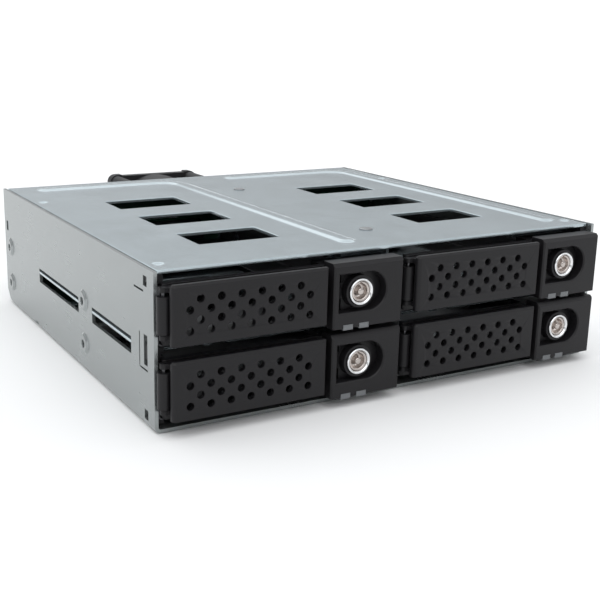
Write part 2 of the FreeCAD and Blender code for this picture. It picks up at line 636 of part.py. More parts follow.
def lock_body():
    """Lock block with its bevelled face, D-shaped opening and button chamber."""
    face = block(BLOCK_LEFT, BLOCK_RIGHT, FACE_Y, FRAME_Y, BLOCK_LOW, BLOCK_TOP)
    top_edge = [e for e in edges_where(face, lambda p: near(p.y, FACE_Y) and near(p.z, BLOCK_TOP))]
    face = face.makeChamfer(BLOCK_BEVEL, top_edge)
    upright = [e for e in edges_where(face, lambda p: near(p.y, FACE_Y))
               if abs(e.Vertexes[0].Point.z - e.Vertexes[1].Point.z) > 1 and near(e.CenterOfMass.y, FACE_Y)]
    face = face.makeChamfer(BLOCK_EDGE, upright)
    back = block(BLOCK_LEFT, BLOCK_RIGHT - BODY_STEP, FRAME_Y, BODY_REAR, FRAME_LOW, FRAME_TOP)
    shape = fuse([face, back])
    slide_z = (LOCK_Z - PLATE_HALF_H - BUTTON_FIT, LOCK_Z + PLATE_HALF_H + BUTTON_FIT)
    slide_rear = PLATE_Y + BUTTON_PLATE_T + BUTTON_FIT
    open_z = (LOCK_Z - RECESS_H / 2.0, LOCK_Z + RECESS_H / 2.0)
    nose_z = (LOCK_Z - NOSE_H / 2.0 - BUTTON_FIT, LOCK_Z + NOSE_H / 2.0 + BUTTON_FIT)
    chamber_left = BLOCK_LEFT + CHAMBER_WALL
    tools = [
        recess_solid(FACE_Y - 1, PLATE_Y, 0.0),
        block(chamber_left, CHAMBER_RIGHT, FACE_Y + RECESS_WALL, slide_rear, *slide_z),
        block(chamber_left, CHAMBER_RIGHT, slide_rear - 0.5, BODY_REAR + 1, *open_z),
        block(BLOCK_LEFT - 1, chamber_left + 1, FACE_Y + RECESS_WALL, slide_rear, *nose_z),
    ]
    tools += [block(x - PIPE_W / 2.0, x + PIPE_W / 2.0, FACE_Y - 1, PIPE_REAR, BLOCK_LOW - 1,
                    BLOCK_LOW + PIPE_H - PIPE_DROP) for x in PIPE_X]
    shape = cut(shape, tools)
    rim = [e for e in edges_where(shape, lambda p: near(p.y, FACE_Y))
           if near(e.CenterOfMass.y, FACE_Y) and on_recess(e)]
    return shape.makeChamfer(RECESS_EDGE, rim)


def on_recess(edge):
    """True for an edge of the D-shaped opening in the block's face."""
    points = [v.Point for v in edge.Vertexes]
    return all(RECESS_LEFT - 0.1 < p.x < RECESS_RIGHT + 0.1 and abs(p.z - LOCK_Z) < RECESS_H / 2.0 + 0.1
               for p in points)


def recess_solid(y0, y1, grow):
    """The D shape: straight on the left, a half circle on the right."""
    r = RECESS_H / 2.0 + grow
    left, centre = RECESS_LEFT - grow, RECESS_RIGHT - RECESS_H / 2.0
    wire = Part.Wire([
        Part.LineSegment(V(left, y0, LOCK_Z - r), V(centre, y0, LOCK_Z - r)).toShape(),
        Part.Arc(V(centre, y0, LOCK_Z - r), V(centre + r, y0, LOCK_Z), V(centre, y0, LOCK_Z + r)).toShape(),
        Part.LineSegment(V(centre, y0, LOCK_Z + r), V(left, y0, LOCK_Z + r)).toShape(),
        Part.LineSegment(V(left, y0, LOCK_Z + r), V(left, y0, LOCK_Z - r)).toShape()])
    return Part.Face(wire).extrude(V(0, y1 - y0, 0))


def tray_front():
    """Moulded tray front: vented frame, hinge knuckle, lock block and cheeks."""
    frame = block(FRAME_LEFT, BLOCK_LEFT + 1, FRAME_Y, FRAME_Y + FRAME_T, FRAME_LOW, FRAME_TOP)
    vent_w = (BLOCK_LEFT - FRAME_LEFT - 2.0 * FRAME_BAR - 2.0 * FRAME_MULLION) / 3.0
    starts = [FRAME_LEFT + FRAME_BAR + i * (vent_w + FRAME_MULLION) for i in range(3)]
    vents = [block(x, x + vent_w, FRAME_Y - 1, FRAME_Y + FRAME_T + 1, DOOR_LOW + 1.6, FRAME_TOP - 1.6)
             for x in starts]
    lugs = rod(LUG_R + LUG_ROOM, V(HINGE_X, HINGE_Y, 0), V(0, 0, 1), FRAME_TOP + 1)
    frame = cut(frame, vents + [lugs])
    knuckle_top = KNUCKLE_LOW + KNUCKLE_H
    barrel = rod(KNUCKLE_R, V(HINGE_X, HINGE_Y, KNUCKLE_LOW), V(0, 0, 1), KNUCKLE_H)
    web = block(HINGE_X, FRAME_LEFT + 1.2, HINGE_Y - 1.1, 0.2, KNUCKLE_LOW, knuckle_top)
    stop = block(HINGE_X - KNUCKLE_R - 1, HINGE_X + 0.3, -WALL_ROOM, 3, KNUCKLE_LOW - 1, knuckle_top + 1)
    hinge = cut(barrel.fuse(web), [stop, rod(PIN_R, V(HINGE_X, HINGE_Y, KNUCKLE_LOW - 1), V(0, 0, 1),
                                             KNUCKLE_H + 2)])
    cheek_out = HALF_PAN - PAN_T - PIN_FIT
    pieces = [frame, hinge, lock_body()]
    wall_in = BLOCK_RIGHT - BODY_STEP - 0.5     # the right cheek grows out of the block's side wall
    for side, cheek_in in ((-1, cheek_out - CHEEK_T), (1, min(cheek_out - CHEEK_T, wall_in))):
        x0, x1 = sorted((side * cheek_in, side * cheek_out))
        pieces.append(block(x0, x1, FRAME_Y + 0.4, CHEEK_REAR, PAN_BEND, PAN_BEND + CHEEK_H))
        s0, s1 = sorted((side * (cheek_out - 0.2), side * (HALF_PAN - 0.1)))
        pieces.append(block(s0, s1, *snap_window(0.1)))
    nose = block(BLOCK_LEFT - 1, BLOCK_LEFT + 2, FRAME_Y - 1, PLATE_Y + BUTTON_PLATE_T + BUTTON_FIT,
                 LOCK_Z - NOSE_H / 2.0 - BUTTON_FIT, LOCK_Z + NOSE_H / 2.0 + BUTTON_FIT)
    return cut(fuse(pieces), [nose])


def perforations():
    """Four staggered rows of round holes through the door."""
    centre_x = DOOR_LEFT + DOOR_W / 2.0 - 0.4
    centre_z = DOOR_LOW + DOOR_H / 2.0 - 0.1
    holes = []
    for row in range(4):
        count = LONG_ROW_COUNT if row % 2 == 0 else LONG_ROW_COUNT - 1
        z = centre_z + (row - 1.5) * HOLE_ROW
        for i in range(count):
            x = centre_x + (i - (count - 1) / 2.0) * HOLE_PITCH
            holes.append(rod(HOLE_R, V(x, FACE_Y - 1, z), V(0, 1, 0), DOOR_T + 2))
    return holes


def door_lever():
    """Perforated door that swings out as a lever on its left edge."""
    inner_y = FACE_Y + DOOR_T
    plate = block(DOOR_LEFT, DOOR_RIGHT, FACE_Y, inner_y, DOOR_LOW, DOOR_TOP)
    upright = [e for e in edges_where(plate, lambda p: near(p.y, FACE_Y) and near(p.x, DOOR_LEFT))]
    plate = plate.makeFillet(DOOR_ROUND, upright)
    level = [e for e in edges_where(plate, lambda p: near(p.y, FACE_Y) and near(p.z, DOOR_TOP))]
    plate = plate.makeChamfer(DOOR_BEVEL, level)
    right_edge = [e for e in edges_where(plate, lambda p: near(p.y, FACE_Y) and near(p.x, DOOR_RIGHT))]
    plate = plate.makeChamfer(BLOCK_EDGE, right_edge)
    rim_rear = inner_y + DOOR_RIM_D
    rims = []
    for low in (DOOR_LOW + DOOR_RIM_IN, DOOR_TOP - DOOR_RIM - DOOR_RIM_IN):
        rims.append(block(DOOR_LEFT + 0.3, DOOR_RIGHT, inner_y - 0.2, rim_rear, low, low + DOOR_RIM))
        rims.append(block(HINGE_X, DOOR_LEFT + 2, HINGE_Y - LUG_R, rim_rear, low, low + DOOR_RIM))
        rims.append(rod(LUG_R, V(HINGE_X, HINGE_Y, low), V(0, 0, 1), DOOR_RIM))
    rims.append(block(DOOR_RIGHT - DOOR_RIM, DOOR_RIGHT, inner_y - 0.2, rim_rear, DOOR_LOW + DOOR_RIM_IN,
                      DOOR_TOP - DOOR_RIM_IN))
    rims.append(block(DOOR_RIGHT - 0.5, DOOR_RIGHT + CATCH_L, rim_rear - 1.3, rim_rear,
                      LOCK_Z - NOSE_H / 2.0, LOCK_Z + NOSE_H / 2.0))
    shape = fuse([plate] + rims)
    bore = rod(PIN_R + PIN_FIT, V(HINGE_X, HINGE_Y, DOOR_LOW - 1), V(0, 0, 1), DOOR_H + 2)
    return cut(shape, perforations() + [bore])


def hinge_pin():
    """Steel pin through the door's lugs and the tray's knuckle."""
    return rod(PIN_R, V(HINGE_X, HINGE_Y, DOOR_LOW + DOOR_RIM_IN), V(0, 0, 1), DOOR_H - 2.0 * DOOR_RIM_IN)


def release_button():
    """Sliding button: a round boss for the lock on a plate with a latch nose."""
    plate_rear = PLATE_Y + BUTTON_PLATE_T
    plate = block(PLATE_LEFT, PLATE_RIGHT, PLATE_Y, plate_rear,
                  LOCK_Z - PLATE_HALF_H, LOCK_Z + PLATE_HALF_H)
    boss_y = FACE_Y + BUTTON_BACK
    boss = rod(BUTTON_R, V(LOCK_X, boss_y, LOCK_Z), V(0, 1, 0), plate_rear - boss_y)
    nose_tip = DOOR_RIGHT + CATCH_L + NOSE_GAP
    nose = block(nose_tip, PLATE_LEFT + 1, PLATE_Y, plate_rear, LOCK_Z - NOSE_H / 2.0, LOCK_Z + NOSE_H / 2.0)
    post_x = LOCK_X + HOUSING_R + POST_GAP
    post = block(post_x, post_x + POST_T, plate_rear - 0.3, plate_rear + SPRING_W + 0.4,
                 LOCK_Z - 2.0, LOCK_Z + 2.0)
    shape = fuse([plate, boss, nose, post])
    return cut(shape, [rod(HOUSING_R, V(LOCK_X, FACE_Y - 1, LOCK_Z), V(0, 1, 0), 10)])


def lock_housing():
    """Chrome sleeve with the ring that shows round the key."""
    sleeve = rod(HOUSING_R, V(LOCK_X, FACE_Y, LOCK_Z), V(0, 1, 0), HOUSING_REAR - FACE_Y)
    rim = rod(HOUSING_R + HOUSING_RIM, V(LOCK_X, FACE_Y, LOCK_Z), V(0, 1, 0), HOUSING_RIM_T)
    bore = rod(PLUG_R + PLUG_FIT, V(LOCK_X, FACE_Y - 1, LOCK_Z), V(0, 1, 0), HOUSING_REAR - FACE_Y + 2)
    return cut(fuse([sleeve, rim]), [bore])


def lock_plug():
    """Turning core with its keyway and the cam at its back."""
    front = FACE_Y + PLUG_BACK
    core = rod(PLUG_R, V(LOCK_X, front, LOCK_Z), V(0, 1, 0), HOUSING_REAR + 0.1 - front)
    cam_y = HOUSING_REAR + 0.1
    cam = block(LOCK_X - CAM_W / 2.0, LOCK_X + CAM_W / 2.0, cam_y, cam_y + CAM_T, LOCK_Z - CAM_R, LOCK_Z)
    hub = rod(PLUG_R - 0.5, V(LOCK_X, cam_y - 0.3, LOCK_Z), V(0, 1, 0), CAM_T + 0.3)
    key = block(LOCK_X - KEYWAY_W / 2.0, LOCK_X + KEYWAY_W / 2.0, front - 1, front + KEYWAY_D,
                LOCK_Z - KEYWAY_H / 2.0, LOCK_Z + KEYWAY_H / 2.0)
    dish = Part.makeCone(PLUG_R - 0.5, PLUG_R - 1.1, 0.5, V(LOCK_X, front - 0.01, LOCK_Z), V(0, 1, 0))
    return cut(fuse([core, cam, hub]), [key, dish])


def latch_spring():
    """Folded strip spring between the button's post and the block's wall."""
    x0 = LOCK_X + HOUSING_R + POST_GAP + POST_T
    x1 = CHAMBER_RIGHT
    step = (x1 - x0) / SPRING_FOLD_COUNT
    half = SPRING_T / 2.0 * math.hypot(step, 2.0 * SPRING_SWING) / step
    places = [(x0 + i * step, LOCK_Z + (SPRING_SWING if i % 2 else -SPRING_SWING))
              for i in range(SPRING_FOLD_COUNT + 1)]
    y = PLATE_Y + BUTTON_PLATE_T + 0.4
    upper = [V(x, y, z + half) for x, z in places]
    lower = [V(x, y, z - half) for x, z in reversed(places)]
    return outline(upper + lower).extrude(V(0, SPRING_W, 0))


def light_pipes():
    """Two clear windows for the status lights at the block's lower edge."""
    low = BLOCK_LOW - PIPE_DROP
    return solids([block(x - PIPE_W / 2.0, x + PIPE_W / 2.0, FACE_Y, PIPE_REAR, low, low + PIPE_H)
                   for x in PIPE_X])


# ----------------------------------------------------------------- backplane
def standoff_places():
    """Six screw places of the circuit board."""
    return [(x, z) for x in (-BOARD_SCREW_X, 0.0, BOARD_SCREW_X) for z in BOARD_SCREW_Z]


def backplane_board():
    """Circuit board that carries the drive receptacles, with air slots."""
    board = block(-BOARD_HALF_W, BOARD_HALF_W, BOARD_Y, BOARD_Y + BOARD_T, BOARD_LOW, BOARD_LOW + BOARD_H)
    tools = [rod(BOARD_SCREW_R, V(x, BOARD_Y - 1, z), V(0, 1, 0), BOARD_T + 2) for x, z in standoff_places()]
    for x in TRAY_X.values():
        for z in TRAY_Z.values():
            tools.append(rounded_prism_y(AIR_SLOT_W, AIR_SLOT_H, AIR_SLOT_H / 2.0 - 0.1, x, z + AIR_SLOT_UP,
                                         BOARD_Y - 1, BOARD_Y + BOARD_T + 1))
    return cut(board, tools)


def standoffs():
    """Six spacers between the circuit board and its bracket."""
    pieces = []
    for x, z in standoff_places():
        tube = rod(STANDOFF_R, V(x, BOARD_Y + BOARD_T, z), V(0, 1, 0), STANDOFF_L)
        pieces.append(cut(tube, [rod(BOARD_SCREW_R, V(x, BOARD_Y, z), V(0, 1, 0), STANDOFF_L + 4)]))
    return solids(pieces)


def board_screws():
    """Pan head screws that hold the circuit board."""
    pieces = []
    for x, z in standoff_places():
        head = rod(BOARD_HEAD_R, V(x, BOARD_Y - BOARD_HEAD, z), V(0, 1, 0), BOARD_HEAD)
        shank = rod(BOARD_SCREW_R, V(x, BOARD_Y, z), V(0, 1, 0), BOARD_T + STANDOFF_L + INNER_SHEET)
        y0, y1 = BOARD_Y - BOARD_HEAD - 1, BOARD_Y - BOARD_HEAD + 0.7
        driver = block(x - 1.4, x + 1.4, y0, y1, z - 0.3, z + 0.3)
        cross = block(x - 0.3, x + 0.3, y0, y1, z - 1.4, z + 1.4)
        pieces.append(cut(fuse([head, shank]), [driver, cross]))
    return solids(pieces)


def backplane_bracket():
    """Steel frame behind the circuit board, flanged to walls, floor and cover."""
    y0, y1 = BRACKET_Y, BRACKET_Y + INNER_SHEET
    sheet = block(-WALL_IN, WALL_IN, y0, y1, WALL, COVER_LOW)
    flanges = []
    for side in SIDES:
        x0, x1 = sorted((side * (WALL_IN - INNER_SHEET), side * WALL_IN))
        flanges.append(block(x0, x1, y0, y1 + BRACKET_FLANGE, WALL + 2, COVER_LOW - 2))
        x0, x1 = sorted((side * TAB_IN, side * (WALL_IN - 1.5)))
        for low in (WALL, COVER_LOW - INNER_SHEET):
            flanges.append(block(x0, x1, TAB_FRONT, y1, low, low + INNER_SHEET))
    shape = fuse([sheet] + flanges)
    tools = [rod(BOARD_SCREW_R, V(x, y0 - 1, z), V(0, 1, 0), INNER_SHEET + 2) for x, z in standoff_places()]
    tools += [block(*sorted((side * BRACKET_OPEN[0], side * BRACKET_OPEN[1])), y0 - 1, y1 + 1,
                    *BRACKET_OPEN_Z) for side in SIDES]
    tools += [block(*sorted((side * (WALL_IN - 1.0), side * (WALL_IN + 1))), y0 - 1, y1 + 1, WALL - 1,
                    WALL + BEND_R) for side in SIDES]
    corner_w = REAR_CORNER + 2.0
    tools += [block(*sorted((side * (WALL_IN - 1.2), side * (WALL_IN + 1))), y1 + BRACKET_FLANGE - corner_w,
                    y1 + BRACKET_FLANGE + 1, WALL, WALL + 4) for side in SIDES]
    return cut(shape, tools)


def drive_receptacle():
    """Receptacle for one drive, in tray coordinates, with its two guide posts."""
    z = PAN_T + RECEPT_UP
    y0 = BOARD_Y - RECEPT_D
    x = RECEPT_OFFSET
    body = block(x - RECEPT_W / 2.0, x + RECEPT_W / 2.0, y0, BOARD_Y, z - RECEPT_H / 2.0, z + RECEPT_H / 2.0)
    slot = block(x - RECEPT_SLOT_W / 2.0, x + RECEPT_SLOT_W / 2.0, y0 - 1, BOARD_Y - 1.4,
                 z - RECEPT_SLOT_H / 2.0, z + RECEPT_SLOT_H / 2.0)
    key = block(x - 7.2, x - 4.6, y0, BOARD_Y - 1.4,
                z - RECEPT_SLOT_H / 2.0 - 0.2, z + RECEPT_SLOT_H / 2.0 + 0.2)
    bevels = [block(x + side * (RECEPT_W / 2.0) - 2.2, x + side * (RECEPT_W / 2.0) + 2.2, y0 - 1, y0 + 2.2,
                    z + RECEPT_H / 2.0 - 1.2, z + RECEPT_H / 2.0 + 1) for side in SIDES]
    return fuse([cut(body, [slot] + bevels), key])


def socket(width, x, z, tongue_w, notch):
    """Walled plug on the board's back with a flat contact tongue inside."""
    y0 = BOARD_Y + BOARD_T
    y1 = y0 + PORT_D
    shell = block(x - width / 2.0, x + width / 2.0, y0, y1, z - PORT_H / 2.0, z + PORT_H / 2.0)
    hollow = block(x - width / 2.0 + PORT_WALL, x + width / 2.0 - PORT_WALL, y0 + 2, y1 + 1,
                   z - PORT_H / 2.0 + PORT_WALL, z + PORT_H / 2.0 - PORT_WALL)
    tongue = block(x - tongue_w / 2.0, x + tongue_w / 2.0, y0 + 1, y1 - 0.6, z - 0.2, z - 0.2 + PORT_TONGUE)
    hook = block(x + tongue_w / 2.0 - PORT_TONGUE, x + tongue_w / 2.0, y0 + 1, y1 - 0.6,
                 z - 0.2 - notch, z - 0.2 + PORT_TONGUE)
    return fuse([cut(shell, [hollow]), tongue, hook])


def data_ports():
    """Four seven-pin data plugs, one for each drive."""
    return solids([socket(DATA_PORT_W, x, DATA_PORT_Z, DATA_TONGUE_W, PORT_TONGUE) for x in DATA_PORT_X])


def power_ports():
    """Two power plugs."""
    return solids([socket(POWER_PORT_W, x, POWER_PORT_Z, POWER_TONGUE_W, PORT_TONGUE)
                   for x in TRAY_X.values()])


def fan_header():
    """Small three-pin header for the fan."""
    y0 = BOARD_Y + BOARD_T
    y1 = y0 + HEADER_D
    shell = block(HEADER_X - HEADER_W / 2.0, HEADER_X + HEADER_W / 2.0, y0, y1,
                  HEADER_Z - HEADER_H / 2.0, HEADER_Z + HEADER_H / 2.0)
    hollow = block(HEADER_X - HEADER_W / 2.0 + 0.8, HEADER_X + HEADER_W / 2.0 - 0.8, y0 + 1.6, y1 + 1,
                   HEADER_Z - HEADER_H / 2.0 + 0.8, HEADER_Z + HEADER_H / 2.0 - 0.8)
    pins = [block(HEADER_X + i * 2.0 - 0.25, HEADER_X + i * 2.0 + 0.25, y0 + 1, y1 - 1,
                  HEADER_Z - 0.25, HEADER_Z + 0.25) for i in (-1, 0, 1)]
    return fuse([cut(shell, [hollow])] + pins)


# ----------------------------------------------------------------- rear, fan
def fan_screw_places():
    """The fan's four corner holes."""
    half = FAN_SCREW_PITCH / 2.0
    return [(FAN_X + sx * half, FAN_Z + sz * half) for sx in SIDES for sz in SIDES]


def rear_panel():
    """Panel across the cage's rear that carries the fan and lets the leads through."""
    sheet = block(-WALL_IN + 0.2, WALL_IN - 0.2, PANEL_Y, CAGE_D, WALL, COVER_LOW)
    flanges = []
    for side in SIDES:
        x0, x1 = sorted((side * FLANGE_IN, side * (WALL_IN - LEAD_EDGE)))
        for low in (WALL, COVER_LOW - INNER_SHEET):
            flanges.append(block(x0, x1, PANEL_Y - PANEL_FLANGE, CAGE_D, low, low + INNER_SHEET))
    shape = fuse([sheet] + flanges)
    tools = [rod(FAN_BORE_R, V(FAN_X, PANEL_Y - 1, FAN_Z), V(0, 1, 0), INNER_SHEET + 2)]
    tools += [rod(FAN_SCREW_R, V(x, PANEL_Y - 1, z), V(0, 1, 0), INNER_SHEET + 2)
              for x, z in fan_screw_places()]
    middle_z = (WALL + COVER_LOW) / 2.0
    for side in SIDES:
        x0, x1 = FAN_X + side * (FAN_SIZE / 2.0 + LEAD_MARGIN), side * (WALL_IN - LEAD_EDGE)
        tools.append(rounded_prism_y(abs(x1 - x0), COVER_LOW - WALL - 2.0 * LEAD_RAIL, LEAD_R,
                                     (x0 + x1) / 2.0, middle_z, PANEL_Y - 1, CAGE_D + 1))
        x0, x1 = sorted((side * (WALL_IN - 6), side * (WALL_IN + 1)))
        tools.append(block(x0, x1, PANEL_Y - 1, CAGE_D + 1, WALL - 1, REAR_CORNER + 0.6))
    return cut(shape, tools)


def fan_section(size, y0, y1, corner):
    """A square fan slice whose sides are dished between the corners."""
    body = rounded_prism_y(size, size, corner, FAN_X, FAN_Z, y0, y1)
    half, reach = size / 2.0, size / 2.0 - 5.0
    dishes = []
    for side in SIDES:
        low, high = sorted((side * (half - FAN_DISH), side * (half + 1)))
        dishes.append(block(FAN_X - reach, FAN_X + reach, y0 - 1, y1 + 1, FAN_Z + low, FAN_Z + high))
        dishes.append(block(FAN_X + low, FAN_X + high, y0 - 1, y1 + 1, FAN_Z - reach, FAN_Z + reach))
    return cut(body, dishes)


def fan_flanges():
    """The fan's front and rear flange, each with its bore and corner holes."""
    pieces = []
    for y in (FAN_Y, FAN_REAR - FAN_FLANGE):
        tools = [rod(FAN_BORE_R, V(FAN_X, y - 1, FAN_Z), V(0, 1, 0), FAN_FLANGE + 2)]
        tools += [rod(FAN_SCREW_R, V(x, y - 1, z), V(0, 1, 0), FAN_FLANGE + 2) for x, z in fan_screw_places()]
        pieces.append(cut(fan_section(FAN_SIZE, y, y + FAN_FLANGE, FAN_CORNER), tools))
    return solids(pieces)


def fan_duct():
    """Round duct between the flanges, with four corner posts on short webs."""
    y0, length = FAN_Y + FAN_FLANGE, FAN_D - 2.0 * FAN_FLANGE
    parts = [rod(FAN_BORE_R + FAN_DUCT, V(FAN_X, y0, FAN_Z), V(0, 1, 0), length)]
    for x, z in fan_screw_places():
        web = block(FAN_BORE_R + 0.5, FAN_SCREW_PITCH * math.sqrt(0.5), y0, y0 + length, -0.8, 0.8)
        web.rotate(V(0, 0, 0), V(0, 1, 0), -math.degrees(math.atan2(z - FAN_Z, x - FAN_X)))
        web.translate(V(FAN_X, 0, FAN_Z))
        parts += [web, rod(FAN_CORNER_POST, V(x, y0, z), V(0, 1, 0), length)]
    return cut(fuse(parts), [rod(FAN_BORE_R, V(FAN_X, y0 - 1, FAN_Z), V(0, 1, 0), length + 2)])


def fan_struts():
    """Three struts that carry the motor plate and the rotor's bearing post."""
    strut_y = FAN_REAR - STRUT_T - 0.2
    parts = []
    for i in range(STRUT_COUNT):
        arm = block(HUB_R - 1.5, FAN_BORE_R + 1, 0, STRUT_T, -STRUT_W / 2.0, STRUT_W / 2.0)
        arm.translate(V(0, strut_y, 0))
        arm.rotate(V(0, 0, 0), V(0, 1, 0), 30 + 360.0 / STRUT_COUNT * i)
        arm.translate(V(FAN_X, 0, FAN_Z))
        parts.append(arm)
    parts.append(rod(HUB_R, V(FAN_X, strut_y, FAN_Z), V(0, 1, 0), STRUT_T))
    parts.append(rod(BEARING_R, V(FAN_X, FAN_Y + 8, FAN_Z), V(0, 1, 0), strut_y - FAN_Y - 7.5))
    bore = rod(FAN_BORE_R, V(FAN_X, FAN_Y, FAN_Z), V(0, 1, 0), FAN_D)
    shaft_way = rod(SHAFT_R + SHAFT_FIT, V(FAN_X, FAN_Y + 7, FAN_Z), V(0, 1, 0), strut_y - FAN_Y - 7)
    return cut(fuse(parts).common(bore), [shaft_way])


def fan_blade(index):
    """One twisted blade lofted from its root to its tip."""
    tip_r = FAN_BORE_R - TIP_GAP
    sections = []
    for radius, angle, chord in ((HUB_R - 0.6, 52.0, 11.0), (tip_r - 0.9, 34.0, 13.0)):
        a = math.radians(angle)
        half_x, half_y, t = chord / 2.0 * math.cos(a), chord / 2.0 * math.sin(a), 0.5
        nx, ny = -math.sin(a) * t, math.cos(a) * t
        corners = [V(-half_x - nx, -half_y - ny, radius), V(half_x - nx, half_y - ny, radius),
                   V(half_x + nx, half_y + ny, radius), V(-half_x + nx, -half_y + ny, radius)]
        sections.append(Part.makePolygon(corners + corners[:1]))
    blade = Part.makeLoft(sections, True, True)
    blade.translate(V(0, FAN_Y + FAN_D / 2.0 - 1.0, 0))
    blade.rotate(V(0, 0, 0), V(0, 1, 0), index * 360.0 / BLADE_COUNT)
    blade.translate(V(FAN_X, 0, FAN_Z))
    ring = rod(tip_r, V(FAN_X, FAN_Y, FAN_Z), V(0, 1, 0), FAN_D)
    return blade.common(ring)


def fan_rotor():
    """Hub cup with its blades and the shaft that runs in the bearing post."""
    front = FAN_Y + 2.5
    rear = FAN_REAR - 3.4
    cup = rod(HUB_R, V(FAN_X, front, FAN_Z), V(0, 1, 0), rear - front)
    hollow = rod(HUB_R - 1.4, V(FAN_X, front + 1.6, FAN_Z), V(0, 1, 0), rear - front)
    shaft = rod(SHAFT_R, V(FAN_X, front + 0.5, FAN_Z), V(0, 1, 0), rear - front - 2.5)
    hub = fuse([cup.cut(hollow), shaft])
    blades = [fan_blade(i).cut(rod(HUB_R - 0.2, V(FAN_X, FAN_Y, FAN_Z), V(0, 1, 0), FAN_D))
              for i in range(BLADE_COUNT)]
    return hub.multiFuse(blades)


def fan_screws():
    """Four screws from inside the rear panel into the fan's corners."""
    pieces = []
    for x, z in fan_screw_places():
        head = rod(FAN_HEAD_R, V(x, PANEL_Y - FAN_HEAD, z), V(0, 1, 0), FAN_HEAD)
        shank = rod(FAN_SCREW_R, V(x, PANEL_Y, z), V(0, 1, 0), INNER_SHEET + FAN_FLANGE - 0.4)
        y0, y1 = PANEL_Y - FAN_HEAD - 1, PANEL_Y - FAN_HEAD + 0.8
        slot = block(x - 1.6, x + 1.6, y0, y1, z - 0.35, z + 0.35)
        cross = block(x - 0.35, x + 0.35, y0, y1, z - 1.6, z + 1.6)
        pieces.append(cut(fuse([head, shank]), [slot, cross]))
    return solids(pieces)


# -------------------------------------------------------------------- output
FIXED_PIECES = {
    "cage_base": cage_base,
    "top_cover": top_cover,
    "cover_rivets": cover_rivets,
    "centre_divider": centre_divider,
    "middle_shelf": middle_shelf,
    "guide_blocks": guide_blocks,
    "backplane_board": backplane_board,
    "backplane_bracket": backplane_bracket,
    "board_standoffs": standoffs,
    "board_screws": board_screws,
    "data_ports": data_ports,
    "power_ports": power_ports,
    "fan_header": fan_header,
    "rear_panel": rear_panel,
    "fan_flanges": fan_flanges,
    "fan_duct": fan_duct,
    "fan_struts": fan_struts,
    "fan_rotor": fan_rotor,
    "fan_screws": fan_screws,
}

BAY_PIECES = {
    "drive_receptacle": drive_receptacle,
    "tray_pan": tray_pan,
    "tray_front": tray_front,
    "door_lever": door_lever,
    "hinge_pin": hinge_pin,
    "release_button": release_button,
    "lock_housing": lock_housing,
    "lock_plug": lock_plug,
    "latch_spring": latch_spring,
    "light_pipes": light_pipes,
}


def write(name, shape):
    """Move a finished piece to the row's origin and save it."""
    placed = shape.copy()
    placed.translate(ORIGIN_SHIFT)
    placed.exportStep("parts/%s.step" % name)


def main():
    """Build every piece once and place the bay pieces in all four bays."""
    os.makedirs("parts", exist_ok=True)
    for name, make in FIXED_PIECES.items():
        write(name, make())
    for name, make in BAY_PIECES.items():
        shape = make()
        for row, z in TRAY_Z.items():
            for column, x in TRAY_X.items():
                copy = shape.copy()
                copy.translate(V(x, 0, z))
                write("%s_%s_%s" % (name, row, column), copy)


main()
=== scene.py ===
# %% [markdown]
# # A hot swap drive cage, dressed for its portrait
# The object is a steel cage for one drive bay. Four trays slide in from the front, each behind a
# perforated black door and a lock block with a keyed button, and a fan draws air out at the back.
# The solid parts arrive as a finished frame of real pieces in metres. This lesson gives each one
# its finish, builds the small things that a solid model leaves out, and sets up light and camera.

import json
import math

import bmesh
import bpy
import numpy as np
from mathutils import Matrix, Vector


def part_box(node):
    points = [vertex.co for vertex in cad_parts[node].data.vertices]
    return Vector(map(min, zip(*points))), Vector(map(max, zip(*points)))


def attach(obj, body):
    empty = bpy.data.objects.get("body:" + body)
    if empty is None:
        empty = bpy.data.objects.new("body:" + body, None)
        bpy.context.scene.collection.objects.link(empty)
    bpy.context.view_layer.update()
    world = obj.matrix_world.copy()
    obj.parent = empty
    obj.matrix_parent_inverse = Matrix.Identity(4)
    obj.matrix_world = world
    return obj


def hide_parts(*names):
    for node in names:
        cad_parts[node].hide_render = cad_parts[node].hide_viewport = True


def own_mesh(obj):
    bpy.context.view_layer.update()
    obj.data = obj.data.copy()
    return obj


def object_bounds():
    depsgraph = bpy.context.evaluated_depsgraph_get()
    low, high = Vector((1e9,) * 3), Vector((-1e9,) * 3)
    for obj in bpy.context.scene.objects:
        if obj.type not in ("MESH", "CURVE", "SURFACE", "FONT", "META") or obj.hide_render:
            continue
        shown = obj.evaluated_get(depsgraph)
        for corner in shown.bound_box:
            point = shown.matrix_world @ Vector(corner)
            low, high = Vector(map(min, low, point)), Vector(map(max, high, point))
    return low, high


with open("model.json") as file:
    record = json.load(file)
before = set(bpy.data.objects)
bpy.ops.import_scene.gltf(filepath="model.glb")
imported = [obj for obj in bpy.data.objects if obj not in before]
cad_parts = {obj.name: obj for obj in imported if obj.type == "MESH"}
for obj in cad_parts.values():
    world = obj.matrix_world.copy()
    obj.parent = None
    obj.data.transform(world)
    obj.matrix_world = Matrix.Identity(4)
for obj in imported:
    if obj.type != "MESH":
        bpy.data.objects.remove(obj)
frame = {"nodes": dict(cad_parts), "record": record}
cad_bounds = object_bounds()
nodes = frame["nodes"]
behaviour = frame["record"]["behaviour"]
MM = 0.001
BAYS = [row + "_" + side for row in ("upper", "lower") for side in ("left", "right")]

# %% [markdown]
# ## Shader maths as plain expressions
# Materials here are small formulas: a shade is a half, plus a noise less its mean, times a gain.
# Wiring those by hand takes many lines, so one class wraps a socket and lets Python's own
# operators add the Math nodes. The reflected sum matters: without it `0.5 + shade` is an error.

# %% A socket that can be added, multiplied and subtracted


